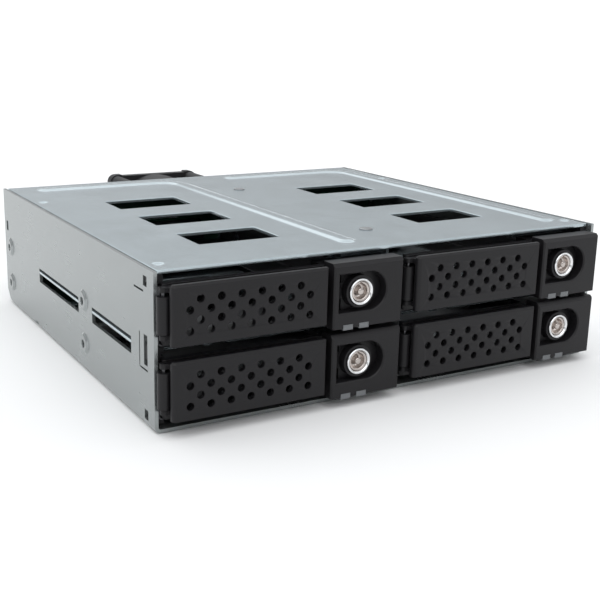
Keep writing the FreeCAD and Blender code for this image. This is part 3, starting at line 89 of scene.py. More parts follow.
class Wire:
    """One output socket of a material's node tree."""

    def __init__(self, tree, socket):
        self.tree = tree
        self.socket = socket

    def maths(self, operation, *values):
        """Adds one Math node to this tree: the operation applied to the values."""
        node = self.tree.nodes.new("ShaderNodeMath")
        node.operation = operation
        for slot, value in zip(node.inputs, values):
            plug(self.tree, slot, value)
        return Wire(self.tree, node.outputs[0])

    def __add__(self, other):
        return self.maths("ADD", self, other)

    def __radd__(self, other):
        return self.maths("ADD", other, self)

    def __sub__(self, other):
        return self.maths("SUBTRACT", self, other)

    def __mul__(self, other):
        return self.maths("MULTIPLY", self, other)

    def __abs__(self):
        return self.maths("ABSOLUTE", self)

    def span(self, low, high, to_low=0.0, to_high=1.0):
        """This value carried from low..high to to_low..to_high and clamped there."""
        node = self.tree.nodes.new("ShaderNodeMapRange")
        for slot, value in zip(node.inputs, (self, low, high, to_low, to_high)):
            plug(self.tree, slot, value)
        return Wire(self.tree, node.outputs[0])


def plug(tree, slot, value):
    """Links a Wire to an input socket, or sets the socket to a plain value."""
    if isinstance(value, Wire):
        tree.links.new(value.socket, slot)
    else:
        slot.default_value = value


# %% [markdown]
# ## A finish is a recipe
# Every finish starts from the same shader, so one small class holds the tree, adds any node from
# its type and its socket values, and hands out the object's own coordinates. Patterns read those
# coordinates in metres, so a grain keeps its real size on every piece.

# %% The finish helper
MEAN = 0.5                              # a noise between 0 and 1 varies about this
MIX_A, MIX_B, MIX_RESULT = 6, 7, 2      # a Mix node has a set of sockets per type; these are colour


class Finish:
    """A material with one surface shader and helpers for its patterns."""

    def __init__(self, name, **constants):
        self.material = bpy.data.materials.new(name)
        self.material.use_nodes = True
        self.tree = self.material.node_tree
        self.shader = self.tree.nodes["Principled BSDF"]
        for socket, value in constants.items():
            self.shader.inputs[socket.replace("_", " ")].default_value = value
        self.place = self.node("TexCoord", "Object")

    def node(self, kind, output, **sockets):
        """Any node: its type and the output to use, then the values or links of its inputs."""
        made = self.tree.nodes.new("ShaderNode" + kind)
        for socket, value in sockets.items():
            plug(self.tree, made.inputs[socket], value)
        return Wire(self.tree, made.outputs[output])

    def stretched(self, x, y, z):
        """The object's coordinates multiplied along each axis, which draws a pattern out."""
        return self.node("Mapping", "Vector", Vector=self.place, Scale=(x, y, z))

    def noise(self, scale, detail, where=None):
        """Soft noise between 0 and 1 with a feature size of about one over scale, in metres."""
        return self.node("TexNoise", "Fac", Vector=where or self.place, Scale=scale,
                         Detail=detail)

    def mix(self, amount, low, high):
        """A colour between two colours by an amount from 0 to 1."""
        made = self.tree.nodes.new("ShaderNodeMix")
        made.data_type = "RGBA"
        plug(self.tree, made.inputs["Factor"], amount)
        made.inputs[MIX_A].default_value = (*low, 1.0)
        made.inputs[MIX_B].default_value = (*high, 1.0)
        return Wire(self.tree, made.outputs[MIX_RESULT])

    def relief(self, height, depth_mm, edge_mm):
        """Feeds a height pattern to the normal; edge_mm also softens the look of sharp edges."""
        soft = self.node("Bevel", "Normal", Radius=edge_mm * MM)
        self.give("Normal", self.node("Bump", "Normal", Height=height, Distance=depth_mm * MM,
                                      Normal=soft))

    def give(self, socket, value):
        """Feeds one socket of the surface shader."""
        plug(self.tree, self.shader.inputs[socket], value)


print("finish helper ready")

# %% [markdown]
# ## Zinc coated sheet
# The cage is folded from galvanised steel. Its surface is matt metal with a very fine rolling
# grain along the sheet, and faint cloudy patches where the zinc froze. A metal mirrors the room,
# so the roughness does most of the work, and the patches only shift colour and roughness by a few
# percent. The walls take a darker copy of the same sheet as painted shade, and the trays a near
# black one as painted shade of their unlit inside.

# %% Galvanised sheet, with darker copies as painted shade for the cage walls and trays
GRAIN_ALONG, GRAIN_ACROSS = 30.0, 2600.0        # features per metre along Y, and across it
CLOUDS_PER_METRE, FLAKES_PER_METRE = 85.0, 420.0
CLOUD_GAIN, FLAKE_GAIN = 1.2, 0.25              # how much each pattern sways the colour,
CLOUD_GLOSS, STREAK_GLOSS = 0.08, 0.04          # and the roughness


def sheet_finish(name, tone, rough, clouds=0.035, grain=0.5):
    """Sheet metal: tone is its colour; clouds and grain are how strongly those patterns show."""
    f = Finish(name, Metallic=0.75)
    streak = f.noise(1.0, 1.0, f.stretched(GRAIN_ACROSS, GRAIN_ALONG, GRAIN_ACROSS))
    cloud = f.noise(CLOUDS_PER_METRE, 3.0)
    spangle = f.node("TexVoronoi", "Color", Vector=f.place, Scale=FLAKES_PER_METRE)
    flake = f.node("SeparateColor", "Red", Color=spangle)
    shade = (MEAN + (cloud - MEAN) * CLOUD_GAIN + (flake - MEAN) * FLAKE_GAIN
             + (streak - MEAN) * grain)
    low = [c * (1.0 - clouds * 2.0) for c in tone]
    high = [c * (1.0 + clouds * 2.0) for c in tone]
    f.give("Base Color", f.mix(shade.span(0.0, 1.0), low, high))
    f.give("Roughness", rough + (cloud - MEAN) * CLOUD_GLOSS + (streak - MEAN) * STREAK_GLOSS)
    return f.material


FINISH = {
    "galvanised_steel": sheet_finish("galvanised sheet", (0.49, 0.56, 0.59), 0.20),
    # The walls are the same zinc sheet as the cover, darker: painted shade, as they get less light
    # than the top.
    "cage_sheet_painted_shade": sheet_finish("cage sheet with painted shade", (0.32, 0.34, 0.34), 0.26, 0.03, 0.15),
    # The tray sheet is darkened nearly to black: painted shade of the trays' unlit inside.
    "tray_steel": sheet_finish("tray sheet darkened as painted shade", (0.085, 0.085, 0.09), 0.38, 0.05),
}
print("sheet finishes:", sorted(FINISH))

# %% [markdown]
# ## Black mouldings
# The fronts are moulded in black plastic with a fine spark texture: tiny even pits that turn a
# highlight into a soft glow. Two layers of noise do it. The wide one varies the gloss a little, as
# handling does, and the fine one is the texture itself, up to two hundredths of a millimetre deep.
# The same recipe in other tones serves chip resin and fired ceramic.

# %% Moulded plastics
PITS_PER_METRE, HANDLING_PER_METRE = 5200.0, 120.0
MOULDED_EDGE_MM, LIGHTER = 0.15, 1.35
HANDLING_GLOSS, PIT_GLOSS = 0.12, 0.06


def moulded(name, tone, rough, pits_mm, edge_mm=MOULDED_EDGE_MM):
    """Textured plastic: rough is its mean roughness, pits_mm the depth of its texture."""
    f = Finish(name, Specular_IOR_Level=0.24)
    fine = f.noise(PITS_PER_METRE, 2.0)
    wide = f.noise(HANDLING_PER_METRE, 3.0)
    light = [c * LIGHTER for c in tone]
    f.give("Base Color", f.mix((wide * 0.7 + fine * 0.5).span(0.2, 1.0), tone, light))
    f.give("Roughness", rough + (wide - MEAN) * HANDLING_GLOSS + (fine - MEAN) * PIT_GLOSS)
    f.relief(fine, pits_mm, edge_mm)
    return f.material


FINISH["black_plastic"] = moulded("front moulding", (0.0095, 0.0090, 0.0100), 0.36, 0.020)
FINISH["guide_plastic"] = moulded("guide moulding", (0.016, 0.016, 0.017), 0.48, 0.015)
FINISH["connector_black"] = moulded("connector moulding", (0.014, 0.014, 0.015), 0.40, 0.006)
FINISH["fan_black"] = moulded("fan moulding", (0.017, 0.017, 0.018), 0.50, 0.018)
FINISH["chip_black"] = moulded("chip resin", (0.018, 0.018, 0.019), 0.55, 0.004, 0.05)
FINISH["ceramic_tan"] = moulded("fired ceramic", (0.30, 0.21, 0.13), 0.45, 0.003, 0.05)
print("sheets and mouldings:", len(FINISH))

# %% [markdown]
# ## Plated, turned and rolled metal
# The lock's ring is bright chrome and its core a duller plating. Screws are zinc plated, pins
# blackened and springs rolled, and the board adds brass, gold and tin. They differ only in tone,
# in gloss, and in how strongly fine scratches disturb both.

# %% Small metal finishes
SCRATCHES_PER_METRE, SMUDGES_PER_METRE = 2600.0, 400.0
DIMMED = 0.86                           # how dark a scratched patch gets
MARK_GLOSS = 0.06                       # the sway of the roughness where nothing is scratched
PLATED_EDGE_MM, LEAST_MARK_MM, MARK_MM = 0.06, 0.002, 0.01


def plated(name, tone, rough, scratch=0.0):
    """Plated metal: scratch sets how strongly fine marks disturb gloss and surface."""
    f = Finish(name, Metallic=1.0)
    marks = f.noise(SCRATCHES_PER_METRE, 3.0)
    soft = f.noise(SMUDGES_PER_METRE, 2.0)
    dim = [c * DIMMED for c in tone]
    f.give("Base Color", f.mix((marks * 0.5 + soft * 0.5).span(0.25, 0.75), dim, tone))
    f.give("Roughness", rough + (marks - MEAN) * (MARK_GLOSS + scratch))
    f.relief(marks, LEAST_MARK_MM + scratch * MARK_MM, PLATED_EDGE_MM)
    return f.material


FINISH["lock_chrome"] = plated("chrome plating", (0.86, 0.87, 0.88), 0.10)
FINISH["lock_core"] = plated("core plating", (0.55, 0.50, 0.47), 0.20, 0.08)
FINISH["screw_steel"] = plated("screw plating", (0.42, 0.43, 0.44), 0.30, 0.12)
FINISH["pin_steel"] = plated("blackened pin", (0.10, 0.10, 0.105), 0.34, 0.05)
FINISH["spring_steel"] = plated("rolled strip", (0.34, 0.34, 0.36), 0.28, 0.10)
FINISH["standoff_brass"] = plated("turned brass", (0.62, 0.47, 0.22), 0.26, 0.08)
FINISH["contact_gold"] = plated("gold contact", (0.80, 0.60, 0.26), 0.22, 0.04)
FINISH["solder_tin"] = plated("tinned solder", (0.62, 0.63, 0.64), 0.30, 0.06)
print("with metals:", len(FINISH))

# %% [markdown]
# ## Circuit board and light windows
# The board is woven glass under green solder resist: a faint weave of squares about half a
# millimetre apart shows through the gloss. The status windows are clear mouldings with a frosted
# face, which look dark grey with no light behind them.

# %% Board and windows
WEAVE = 6283.0                          # radians per metre, so one wave in each millimetre
BLOTCHES_PER_METRE, MIST_PER_METRE = 140.0, 2200.0


def board_finish():
    """Solder resist over glass weave, with the weave as a product of two sine waves."""
    f = Finish("solder resist")
    across = f.node("SeparateXYZ", "X", Vector=f.place)
    upright = Wire(f.tree, across.socket.node.outputs["Z"])
    weave = across.maths("SINE", across * WEAVE) * upright.maths("SINE", upright * WEAVE)
    blotch = f.noise(BLOTCHES_PER_METRE, 2.0)
    amount = (weave * 0.25 + blotch * 0.8).span(0.0, 1.0)
    f.give("Base Color", f.mix(amount, (0.008, 0.045, 0.026), (0.014, 0.075, 0.042)))
    f.give("Roughness", 0.28 + blotch * 0.12)
    f.relief(weave, 0.004, 0.05)
    return f.material


def window_finish():
    """Clear moulding, frosted: light passes through a rough surface."""
    f = Finish("frosted window", Transmission_Weight=0.35, IOR=1.49)
    mist = f.noise(MIST_PER_METRE, 2.0)
    f.give("Base Color", f.mix(mist, (0.17, 0.18, 0.19), (0.23, 0.24, 0.25)))
    f.give("Roughness", 0.30 + mist * 0.15)
    f.relief(mist, 0.004, 0.08)
    return f.material


FINISH["board"] = board_finish()
FINISH["light_pipe"] = window_finish()
print("finishes in all:", len(FINISH))

# %% [markdown]
# ## Dress the solid pieces
# A folded or moulded part has no razor edges. Each solid piece keeps its own mesh and gets three
# modifiers: Weld joins its loose triangles, Bevel rounds each sharp edge by about a tenth of a
# millimetre, and Weighted Normal keeps the flats flat beside those narrow rounds.

# %% Finish and soften every solid
WELD_MM, EDGE_MM, EDGE_SEGMENTS, SHARP_DEGREES = 0.002, 0.10, 2, 32.0


def shade_smooth(mesh):
    """Shades every face smoothly, which leaves the look of each edge to its rounding."""
    mesh.polygons.foreach_set("use_smooth", np.ones(len(mesh.polygons), dtype=bool))


def round_edges(piece, width_mm, segments, degrees):
    """Rounds each edge sharper than an angle, and keeps the flats beside the rounds flat."""
    bevel = piece.modifiers.new("edge", "BEVEL")
    bevel.width = width_mm * MM
    bevel.segments = segments
    bevel.limit_method = "ANGLE"
    bevel.angle_limit = math.radians(degrees)
    piece.modifiers.new("flat", "WEIGHTED_NORMAL")


slot_of = {row["node"]: row["material_slot"] for row in frame["record"]["subparts"]}
for name, piece in nodes.items():
    piece.data.materials.clear()
    # The cage's walls take the darker copy of the zinc sheet, which is painted shade.
    piece.data.materials.append(FINISH["cage_sheet_painted_shade" if name == "cage_base" else slot_of[name]])
    if "custom_normal" in piece.data.attributes:
        piece.data.attributes.remove(piece.data.attributes["custom_normal"])
    shade_smooth(piece.data)
    piece.modifiers.new("join", "WELD").merge_threshold = WELD_MM * MM
    round_edges(piece, EDGE_MM, EDGE_SEGMENTS, SHARP_DEGREES)
print("dressed", len(nodes), "solids")

# %% [markdown]
# ## From arrays to pieces
# Every new piece below is a surface of two parameters: rows of points, each row an outline, worked
# out as one numpy array. One helper turns such an array into a mesh with quads between the rows,
# and another gives the piece its body and its finish, and hides the solid it stands for.

# %% Mesh and piece helpers


def skin(rows, ring=False):
    """Corners and faces of a sheet of quads: rows is (n, m, 3), each row a closed loop.

    A ring also joins its last row to its first. Any other skin has both ends closed, by triangles
    to the mean of the end row.
    """
    n, m = rows.shape[:2]
    corners = rows.reshape(-1, 3)
    i = np.arange(n if ring else n - 1)[:, None]
    j = np.arange(m)[None, :]
    a, b = i * m + j, i * m + (j + 1) % m
    c, d = ((i + 1) % n) * m + (j + 1) % m, ((i + 1) % n) * m + j
    faces = np.stack([a, b, c, d], axis=-1).reshape(-1, 4).tolist()
    for row, turn in () if ring else ((0, 1), (n - 1, -1)):
        hub = len(corners)
        corners = np.vstack([corners, rows[row].mean(axis=0)])
        loop = row * m + np.arange(m)
        fan = np.stack([np.full(m, hub), np.roll(loop, -1), loop], axis=-1)
        faces += fan[:, ::turn].tolist()
    return corners, faces


def placed(name, data):
    """A new object with this data, in the scene."""
    thing = bpy.data.objects.new(name, data)
    bpy.context.scene.collection.objects.link(thing)
    return thing


def piece_of(name, parts, finish, body, stands_for=()):
    """One object from (corners, faces) pairs in metres, with its finish and body; it hides the
    solids it stands for.
    """
    corners, faces, start = [], [], 0
    for points, quads in parts:
        corners.append(points)
        faces += [tuple(k + start for k in quad) for quad in quads]
        start += len(points)
    mesh = bpy.data.meshes.new(name)
    mesh.from_pydata(np.vstack(corners), [], faces)
    outward = bmesh.new()
    outward.from_mesh(mesh)
    bmesh.ops.recalc_face_normals(outward, faces=outward.faces)
    outward.to_mesh(mesh)
    outward.free()
    shade_smooth(mesh)
    mesh.materials.append(FINISH[finish])
    piece = placed(name, mesh)
    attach(piece, body)
    if stands_for:
        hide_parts(*stands_for)
    return piece


body_of = {node: body for body, names in behaviour["bodies"].items() for node in names}
CAGE = body_of["top_cover"]
print("the still body is", CAGE)

# %% [markdown]
# ## The cover, pressed from arithmetic
# The cover is one flat sheet with two L-shaped beads pressed up into it, which stop it drumming,
# four small locating dimples and six windows. A bead could be modelled as an extrusion, but then
# its ends and its corner need fixing. Here the height is a function of the distance to the bead's
# centre line, so straight runs, corner and rounded ends all come from the same cosine.

# %% Grid lines and heights of the cover
cover_low, cover_high = (np.array(c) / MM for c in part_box("top_cover"))
COVER_T, BEAD_RISE, BEAD_HALF, CREST_HALF, BEAD_BEND = 1.0, 0.5, 3.3, 1.1, 8.5
COVER_TOP = cover_high[2] - BEAD_RISE
BEAD_REAR, BEAD_FRONT = cover_high[1] - 8.6, cover_low[1] + 10.0
BEADS = ((-60.5, -10.5), (14.0, 64.0))  # where each cross leg starts, and its forward leg
WINDOW_W, WINDOW_D, WINDOW_X, WINDOW_FIRST, WINDOW_PITCH = 25.0, 15.5, 37.0, 22.5, 29.25
WINDOWS = [(x, cover_low[1] + WINDOW_FIRST + WINDOW_PITCH * i)
           for x in (-WINDOW_X, WINDOW_X) for i in range(3)]
DIMPLE_R, DIMPLE_DEEP, DIMPLE_INSET, DIMPLE_YS = 1.7, 0.45, 3.1, (6.2, 103.3)
DIMPLES = [(side * (cover_high[0] - DIMPLE_INSET), cover_low[1] + y)
           for side in (-1, 1) for y in DIMPLE_YS]
FINE, COARSE = 0.42, 2.6                # grid steps inside and outside the pressed zones
# How far the fine grid reaches: beside a bead, round its bend, before its start, round a dimple.
BEAD_ZONE, BEND_ZONE, START_ZONE, DIMPLE_ZONE = 3.6, 12.2, 4.0, 1.8
FAR = 1e3                               # the distance to a bend from where it doesn't reach


def lines(low, high, stops, zones):
    """Grid lines from low to high through every stop, fine inside the zones, coarse outside."""
    marks = sorted({low, high, *stops, *(edge for zone in zones for edge in zone)})
    marks = [m for m in marks if low <= m <= high]
    runs = []
    for a, b in zip(marks, marks[1:]):
        step = FINE if any(z0 <= (a + b) / 2 <= z1 for z0, z1 in zones) else COARSE
        runs.append(np.linspace(a, b, max(1, math.ceil((b - a) / step)), endpoint=False))
    return np.append(np.concatenate(runs), marks[-1])


def bead_distance(x, y, start, leg):
    """Distance to an L: a run along the rear, a quarter circle, a run forward at x = leg."""
    cx, cy = leg - BEAD_BEND, BEAD_REAR - BEAD_BEND
    rear = np.hypot(x - np.clip(x, start, cx), y - BEAD_REAR)
    front = np.hypot(x - leg, y - np.clip(y, BEAD_FRONT, cy))
    bend = np.where((x > cx) & (y > cy), abs(np.hypot(x - cx, y - cy) - BEAD_BEND), FAR)
    return np.minimum(np.minimum(rear, front), bend)


def cover_height(x, y):
    """Flat top, plus a cosine ridge along each bead, minus a round bowl at each dimple."""
    z = np.full_like(x, COVER_TOP)
    for start, leg in BEADS:
        away = (bead_distance(x, y, start, leg) - CREST_HALF) / (BEAD_HALF - CREST_HALF)
        z += BEAD_RISE * (0.5 + 0.5 * np.cos(np.pi * np.clip(away, 0, 1)))
    for cx, cy in DIMPLES:
        z -= np.maximum(0, DIMPLE_DEEP * (1 - np.hypot(x - cx, y - cy) ** 2 / DIMPLE_R ** 2))
    return z


# %% The cover's mesh
COVER_EDGE_MM, COVER_EDGE_SEGMENTS, COVER_SHARP_DEGREES = 0.22, 3, 60


def cover_sheet():
    """A grid of cover_height with the windows left out; Solidify gives it its thickness."""
    half_w = WINDOW_W / 2
    xs = lines(cover_low[0], cover_high[0],
               [x + k for x, _ in WINDOWS for k in (-half_w, half_w)],
               [(leg - BEND_ZONE, leg + BEAD_ZONE) for _, leg in BEADS]
               + [(start - START_ZONE, start) for start, _ in BEADS]
               + [(x - DIMPLE_ZONE, x + DIMPLE_ZONE) for x, _ in DIMPLES])
    ys = lines(cover_low[1], cover_high[1],
               [y + k for _, y in WINDOWS for k in (0, WINDOW_D)],
               [(BEAD_REAR - BEND_ZONE, BEAD_REAR + BEAD_ZONE),
                (BEAD_FRONT - BEAD_ZONE, BEAD_FRONT)]
               + [(y - DIMPLE_ZONE, y + DIMPLE_ZONE) for _, y in DIMPLES])
    x, y = np.meshgrid(xs, ys)
    corners = np.stack([x, y, cover_height(x, y)], axis=-1).reshape(-1, 3) * MM
    mx, my = np.meshgrid((xs[:-1] + xs[1:]) / 2, (ys[:-1] + ys[1:]) / 2)
    solid = np.ones(mx.shape, dtype=bool)
    for wx, wy in WINDOWS:
        solid &= ~((abs(mx - wx) < half_w) & (my > wy) & (my < wy + WINDOW_D))
    j, i = np.nonzero(solid)
    a = j * len(xs) + i
    faces = np.stack([a, a + 1, a + 1 + len(xs), a + len(xs)], axis=-1)
    used = np.unique(faces)
    return corners[used], np.searchsorted(used, faces).tolist()


cover = piece_of("pressed_cover", [cover_sheet()], "galvanised_steel", CAGE,
                 ["top_cover"])
thick = cover.modifiers.new("sheet", "SOLIDIFY")
thick.thickness, thick.offset = COVER_T * MM, -1.0
round_edges(cover, COVER_EDGE_MM, COVER_EDGE_SEGMENTS, COVER_SHARP_DEGREES)
print("cover quads:", len(cover.data.polygons))

# %% [markdown]
# ## The lock, turned on a lathe
# Each tray is locked by a small round key: a chromed collar around a core with a ring-shaped
# keyway and a post in its middle. Both are profiles spun round the lock's axis, the quickest way
# to a round shape with exact lips and grooves. A small swelling of the groove's outer wall gives
# the index notch.

# %% Collar and core
ROUND = np.linspace(0, 2 * np.pi, 56, endpoint=False)
COLLAR = ((2.80, 8.2), (2.80, 0.75), (2.88, 0.45), (3.04, 0.20), (3.18, 0.08), (3.32, 0.03),
          (3.46, 0.07), (3.58, 0.20), (3.64, 0.38), (3.64, 0.6), (3.5, 0.62), (3.5, 8.2))
CORE = ((0.45, 0.32), (0.78, 0.40), (0.92, 0.60), (0.92, 2.6), (2.10, 2.6, 0.4),
        (2.10, 0.85, 0.4), (2.18, 0.66, 0.35), (2.45, 0.52, 0.1), (2.62, 0.55), (2.75, 0.72),
        (2.75, 7.9), (2.25, 7.9), (2.25, 8.3))
NOTCH_SPREAD = 0.16                     # radians
CAM_HALF, CAM_DEPTH, CAM_SIZE = 1.5, (8.3, 8.4, 9.2, 9.3), (0.93, 1.0, 1.0, 0.93)


def spun(centre, profile):
    """Rings about an axis along Y: an entry is radius, depth and how far the top swells.

    The swelling is a narrow flat-topped bump of the angle, about 10 degrees to each side.
    """
    table = np.array([(*row, 0)[:3] for row in profile], dtype=float)
    radius, depth, notch = table.T[:, :, None]
    radius = radius + notch * np.exp(-((ROUND - np.pi / 2) / NOTCH_SPREAD) ** 4)
    x = centre[0] + radius * np.cos(ROUND)
    z = centre[2] + radius * np.sin(ROUND)
    return np.stack([x, centre[1] + depth + 0 * ROUND, z], axis=-1) * MM


def cam_rows(centre, reach):
    """A flat cam with round ends: each ring's upper half stays, its lower half moves down."""
    size, depth = np.array(CAM_SIZE)[:, None], np.array(CAM_DEPTH)[:, None]
    drop = np.where(np.sin(ROUND) < 0, reach - CAM_HALF, 0)
    x = centre[0] + size * CAM_HALF * np.cos(ROUND)
    z = centre[2] + size * CAM_HALF * np.sin(ROUND) - drop
    return np.stack([x, centre[1] + depth + 0 * x, z], axis=-1) * MM


def lock_pieces(bay):
    """The collar rides with the button; the core and its cam turn with the lock."""
    low, high = (np.array(c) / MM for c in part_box("lock_housing_" + bay))
    centre = ((low[0] + high[0]) / 2, low[1], (low[2] + high[2]) / 2)
    piece_of("lock_collar_" + bay, [skin(spun(centre, COLLAR), ring=True)], "lock_chrome",
             body_of["lock_housing_" + bay], ["lock_housing_" + bay])
    reach = centre[2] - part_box("lock_plug_" + bay)[0][2] / MM
    piece_of("lock_core_" + bay, [skin(spun(centre, CORE)), skin(cam_rows(centre, reach))],
             "lock_core", body_of["lock_plug_" + bay], ["lock_plug_" + bay])


for bay in BAYS:
    lock_pieces(bay)
print("locks turned:", len(BAYS))

# %% [markdown]
# ## Folded springs
# A folded strip pushes each button back to the left. It shortens as the button slides, so a stiff
# copy would run into the block's wall. Its height follows the arcsine of a damped cosine, which is
# a zigzag with soft folds.

# %% Folded springs
FOLDS, ROWS_PER_FOLD = 6, 24
FOLD_SHARPNESS = 0.90                   # 1 would give a plain zigzag, a small value a sine wave
STRIP_HALF = 0.34                       # half the strip's thickness, measured upright, in mm
END_GAP = 0.05                          # clear of the post and the wall
STRIP_RING = np.array([(0.05, 1.0), (0.95, 1.0), (1.0, 0.6), (1.0, -0.6),
                       (0.95, -1.0), (0.05, -1.0), (0.0, -0.6), (0.0, 0.6)])


def spring_rows(low, high):
    """Rows of a folded strip: height is a soft zigzag of x, each row a rounded section."""
    u = np.linspace(0.0, 1.0, ROWS_PER_FOLD * FOLDS + 1)[:, None]
    wave = np.arcsin(FOLD_SHARPNESS * np.cos(FOLDS * np.pi * u)) / np.arcsin(FOLD_SHARPNESS)
    middle, swing = (low[2] + high[2]) / 2, (high[2] - low[2]) / 2 - STRIP_HALF
    x = low[0] + END_GAP + u * (high[0] - low[0] - 2 * END_GAP)
    y = low[1] + (high[1] - low[1]) * STRIP_RING[:, 0]
    z = middle - swing * wave + STRIP_HALF * STRIP_RING[:, 1]
    return np.stack([x + 0 * z, y + 0 * z, z], axis=-1) * MM


travel = {j["name"]: j["range_m"][1] for j in behaviour["joints"] if "range_m" in j}
for bay in BAYS:
    node = "latch_spring_" + bay
    low, high = (np.array(c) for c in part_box(node))
    spring = piece_of("folded_spring_" + bay, [skin(spring_rows(low / MM, high / MM))],
                      "spring_steel", body_of[node], [node])
    length = high[0] - low[0]
    1.0 - travel["button_slide_" + bay] / length
    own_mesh(spring)
print("springs:", len(BAYS), "of", round(length / MM, 2), "mm")

# %% [markdown]
# ## Contacts
# Every plug on the board carries a row of gilded contacts, and these catch the light in dark
# sockets. One contact is a bar with a rounded tip: a rounded square carried along the insertion
# axis while its size shrinks at the end. Copies of it, moved along, make the whole comb.

# %% Contact combs
BAR_RING = np.linspace(0, 2 * np.pi, 8, endpoint=False) + np.pi / 8
BAR_ALONG, BAR_SIZE, BAR_SQUARE = (0.0, 0.85, 0.95, 1.0), (1.0, 1.0, 0.85, 0.5), 0.6
BAR_HALF_T, PORT_HALF_W, SOCKET_HALF_W = 0.13, 0.28, 0.27
PITCH, DATA_PINS, POWER_PINS = 1.27, 7, 15


def bars(places, length, half_w):
    """(corners, faces) of bars along Y: places is in mm, and a negative length points to -Y."""
    along = np.array(BAR_ALONG)[:, None] * length
    size = np.array(BAR_SIZE)[:, None]
    c, s = np.cos(BAR_RING), np.sin(BAR_RING)
    round_x = np.sign(c) * abs(c) ** BAR_SQUARE * half_w * size
    round_z = np.sign(s) * abs(s) ** BAR_SQUARE * BAR_HALF_T * size
    one = np.stack([round_x, along + 0 * c, round_z], axis=-1)
    return [skin((one + np.array(place)) * MM) for place in places]


def comb(x, y, z, count):
    """Places of a row of contacts centred on x."""
    return [(x + (k - (count - 1) / 2) * PITCH, y, z) for k in range(count)]


BOARD_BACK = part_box("backplane_board")[1][1] / MM
data_low, data_high = (np.array(c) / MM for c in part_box("data_ports"))
power_low, power_high = (np.array(c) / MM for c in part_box("power_ports"))
data_z, power_z = (data_low[2] + data_high[2]) / 2, (power_low[2] + power_high[2]) / 2
DATA_X, POWER_X = (-45.2, -27.2, 27.2, 45.2), (-36.2, 36.2)
PORT_ASIDE, PORT_INSET, PORT_BAR = 0.6, 2.2, 5.4
TONGUE_TOP, TONGUE_PROUD = 1.0, 0.06    # tongue's top above port's middle, bar's middle above it
SOCKET_INSET, SOCKET_RISE, SOCKET_BAR = 1.3, 1.12, -3.6
SOCKET_DATA_X, SOCKET_POWER_X = -10.6, 6.6

port_contacts = []
for port_xs, level, pins in ((DATA_X, data_z, DATA_PINS), (POWER_X, power_z, POWER_PINS)):
    for x in port_xs:
        row = comb(x - PORT_ASIDE, BOARD_BACK + PORT_INSET, level + TONGUE_TOP + TONGUE_PROUD, pins)
        port_contacts += bars(row, PORT_BAR, PORT_HALF_W)
piece_of("port_contacts", port_contacts, "contact_gold", CAGE)

receptacle_contacts = []
for bay in BAYS:
    low, high = (np.array(c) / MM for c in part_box("drive_receptacle_" + bay))
    mid_x, mid_z = (low[0] + high[0]) / 2, (low[2] + high[2]) / 2
    for aside, pins in ((SOCKET_DATA_X, DATA_PINS), (SOCKET_POWER_X, POWER_PINS)):
        row = comb(mid_x + aside, high[1] - SOCKET_INSET, mid_z + SOCKET_RISE, pins)
        receptacle_contacts += bars(row, SOCKET_BAR, SOCKET_HALF_W)
piece_of("receptacle_contacts", receptacle_contacts, "contact_gold", CAGE)
print("contacts:", len(port_contacts) + len(receptacle_contacts))

# %% [markdown]
# ## Parts on the board
# The rear openings show the back of the board, which carries a controller and two capacitors at
# each side, and rows of small ceramic parts. Bodies are rounded boxes, drawn as a superellipse
# that shrinks near its top; capacitors are cans on the same lathe as the lock.

# %% Board parts
BOX_RING = np.linspace(0, 2 * np.pi, 32, endpoint=False)
BOX_LEVEL, BOX_INSET = (0.0, 0.55, 0.9, 1.0), (0.0, 0.03, 0.10, 0.25)
SUNK = 0.02                             # how far a part's foot is sunk into the board


def rounded_box(x, z, half_w, half_h, height, power=0.28):
    """A box on the board's back: superellipse rings, squarer for a smaller power."""
    c, s = np.cos(BOX_RING), np.sin(BOX_RING)
    level = np.array(BOX_LEVEL)[:, None]
    inset = np.array(BOX_INSET)[:, None] * min(1.0, height)
    px = x + (half_w - inset) * np.sign(c) * abs(c) ** power
    pz = z + (half_h - inset) * np.sign(s) * abs(s) ** power
    rows = np.stack([px, BOARD_BACK - SUNK + level * height + 0 * px, pz], axis=-1) * MM
    return skin(rows)


CHIP_X, CHIP_Z, LEAD_PITCH, LEAD_AT = 59.0, 16.0, 0.72, 4.1
CERAMIC_X, CERAMIC_Z, CERAMIC_STEP, CERAMIC_STAGGER, CERAMIC_END = 29.0, 14.6, 3.1, 2.6, 0.82
# Half width, half height and height of each kind of box, and its power where it is squarer.
CHIP, SIDE_LEAD, UPRIGHT_LEAD = (3.6, 3.6, 1.3, 0.16), (0.55, 0.16, 0.28), (0.16, 0.55, 0.28)
CERAMIC, CERAMIC_CAP = (0.62, 0.48, 0.75), (0.22, 0.50, 0.78)
CANS = ((59.5, 30.0, 3.1), (59.5, 7.5, 2.6))    # x, z and radius of each capacitor
FOOT_WIDER, FOOT_HEIGHT, FOOT_POWER = 0.35, 1.0, 0.22
# A can's profile: share of its radius and depth in mm, with a groove near its foot.
CAN = ((0.92, 0.8), (1.0, 1.1), (1.0, 1.6), (0.93, 1.9), (1.0, 2.2), (1.0, 5.6), (0.95, 5.9),
       (0.80, 5.95), (0.76, 5.85))
CAN_CENTRE = (0.2, 5.85)                # the top's innermost ring, in mm for every can

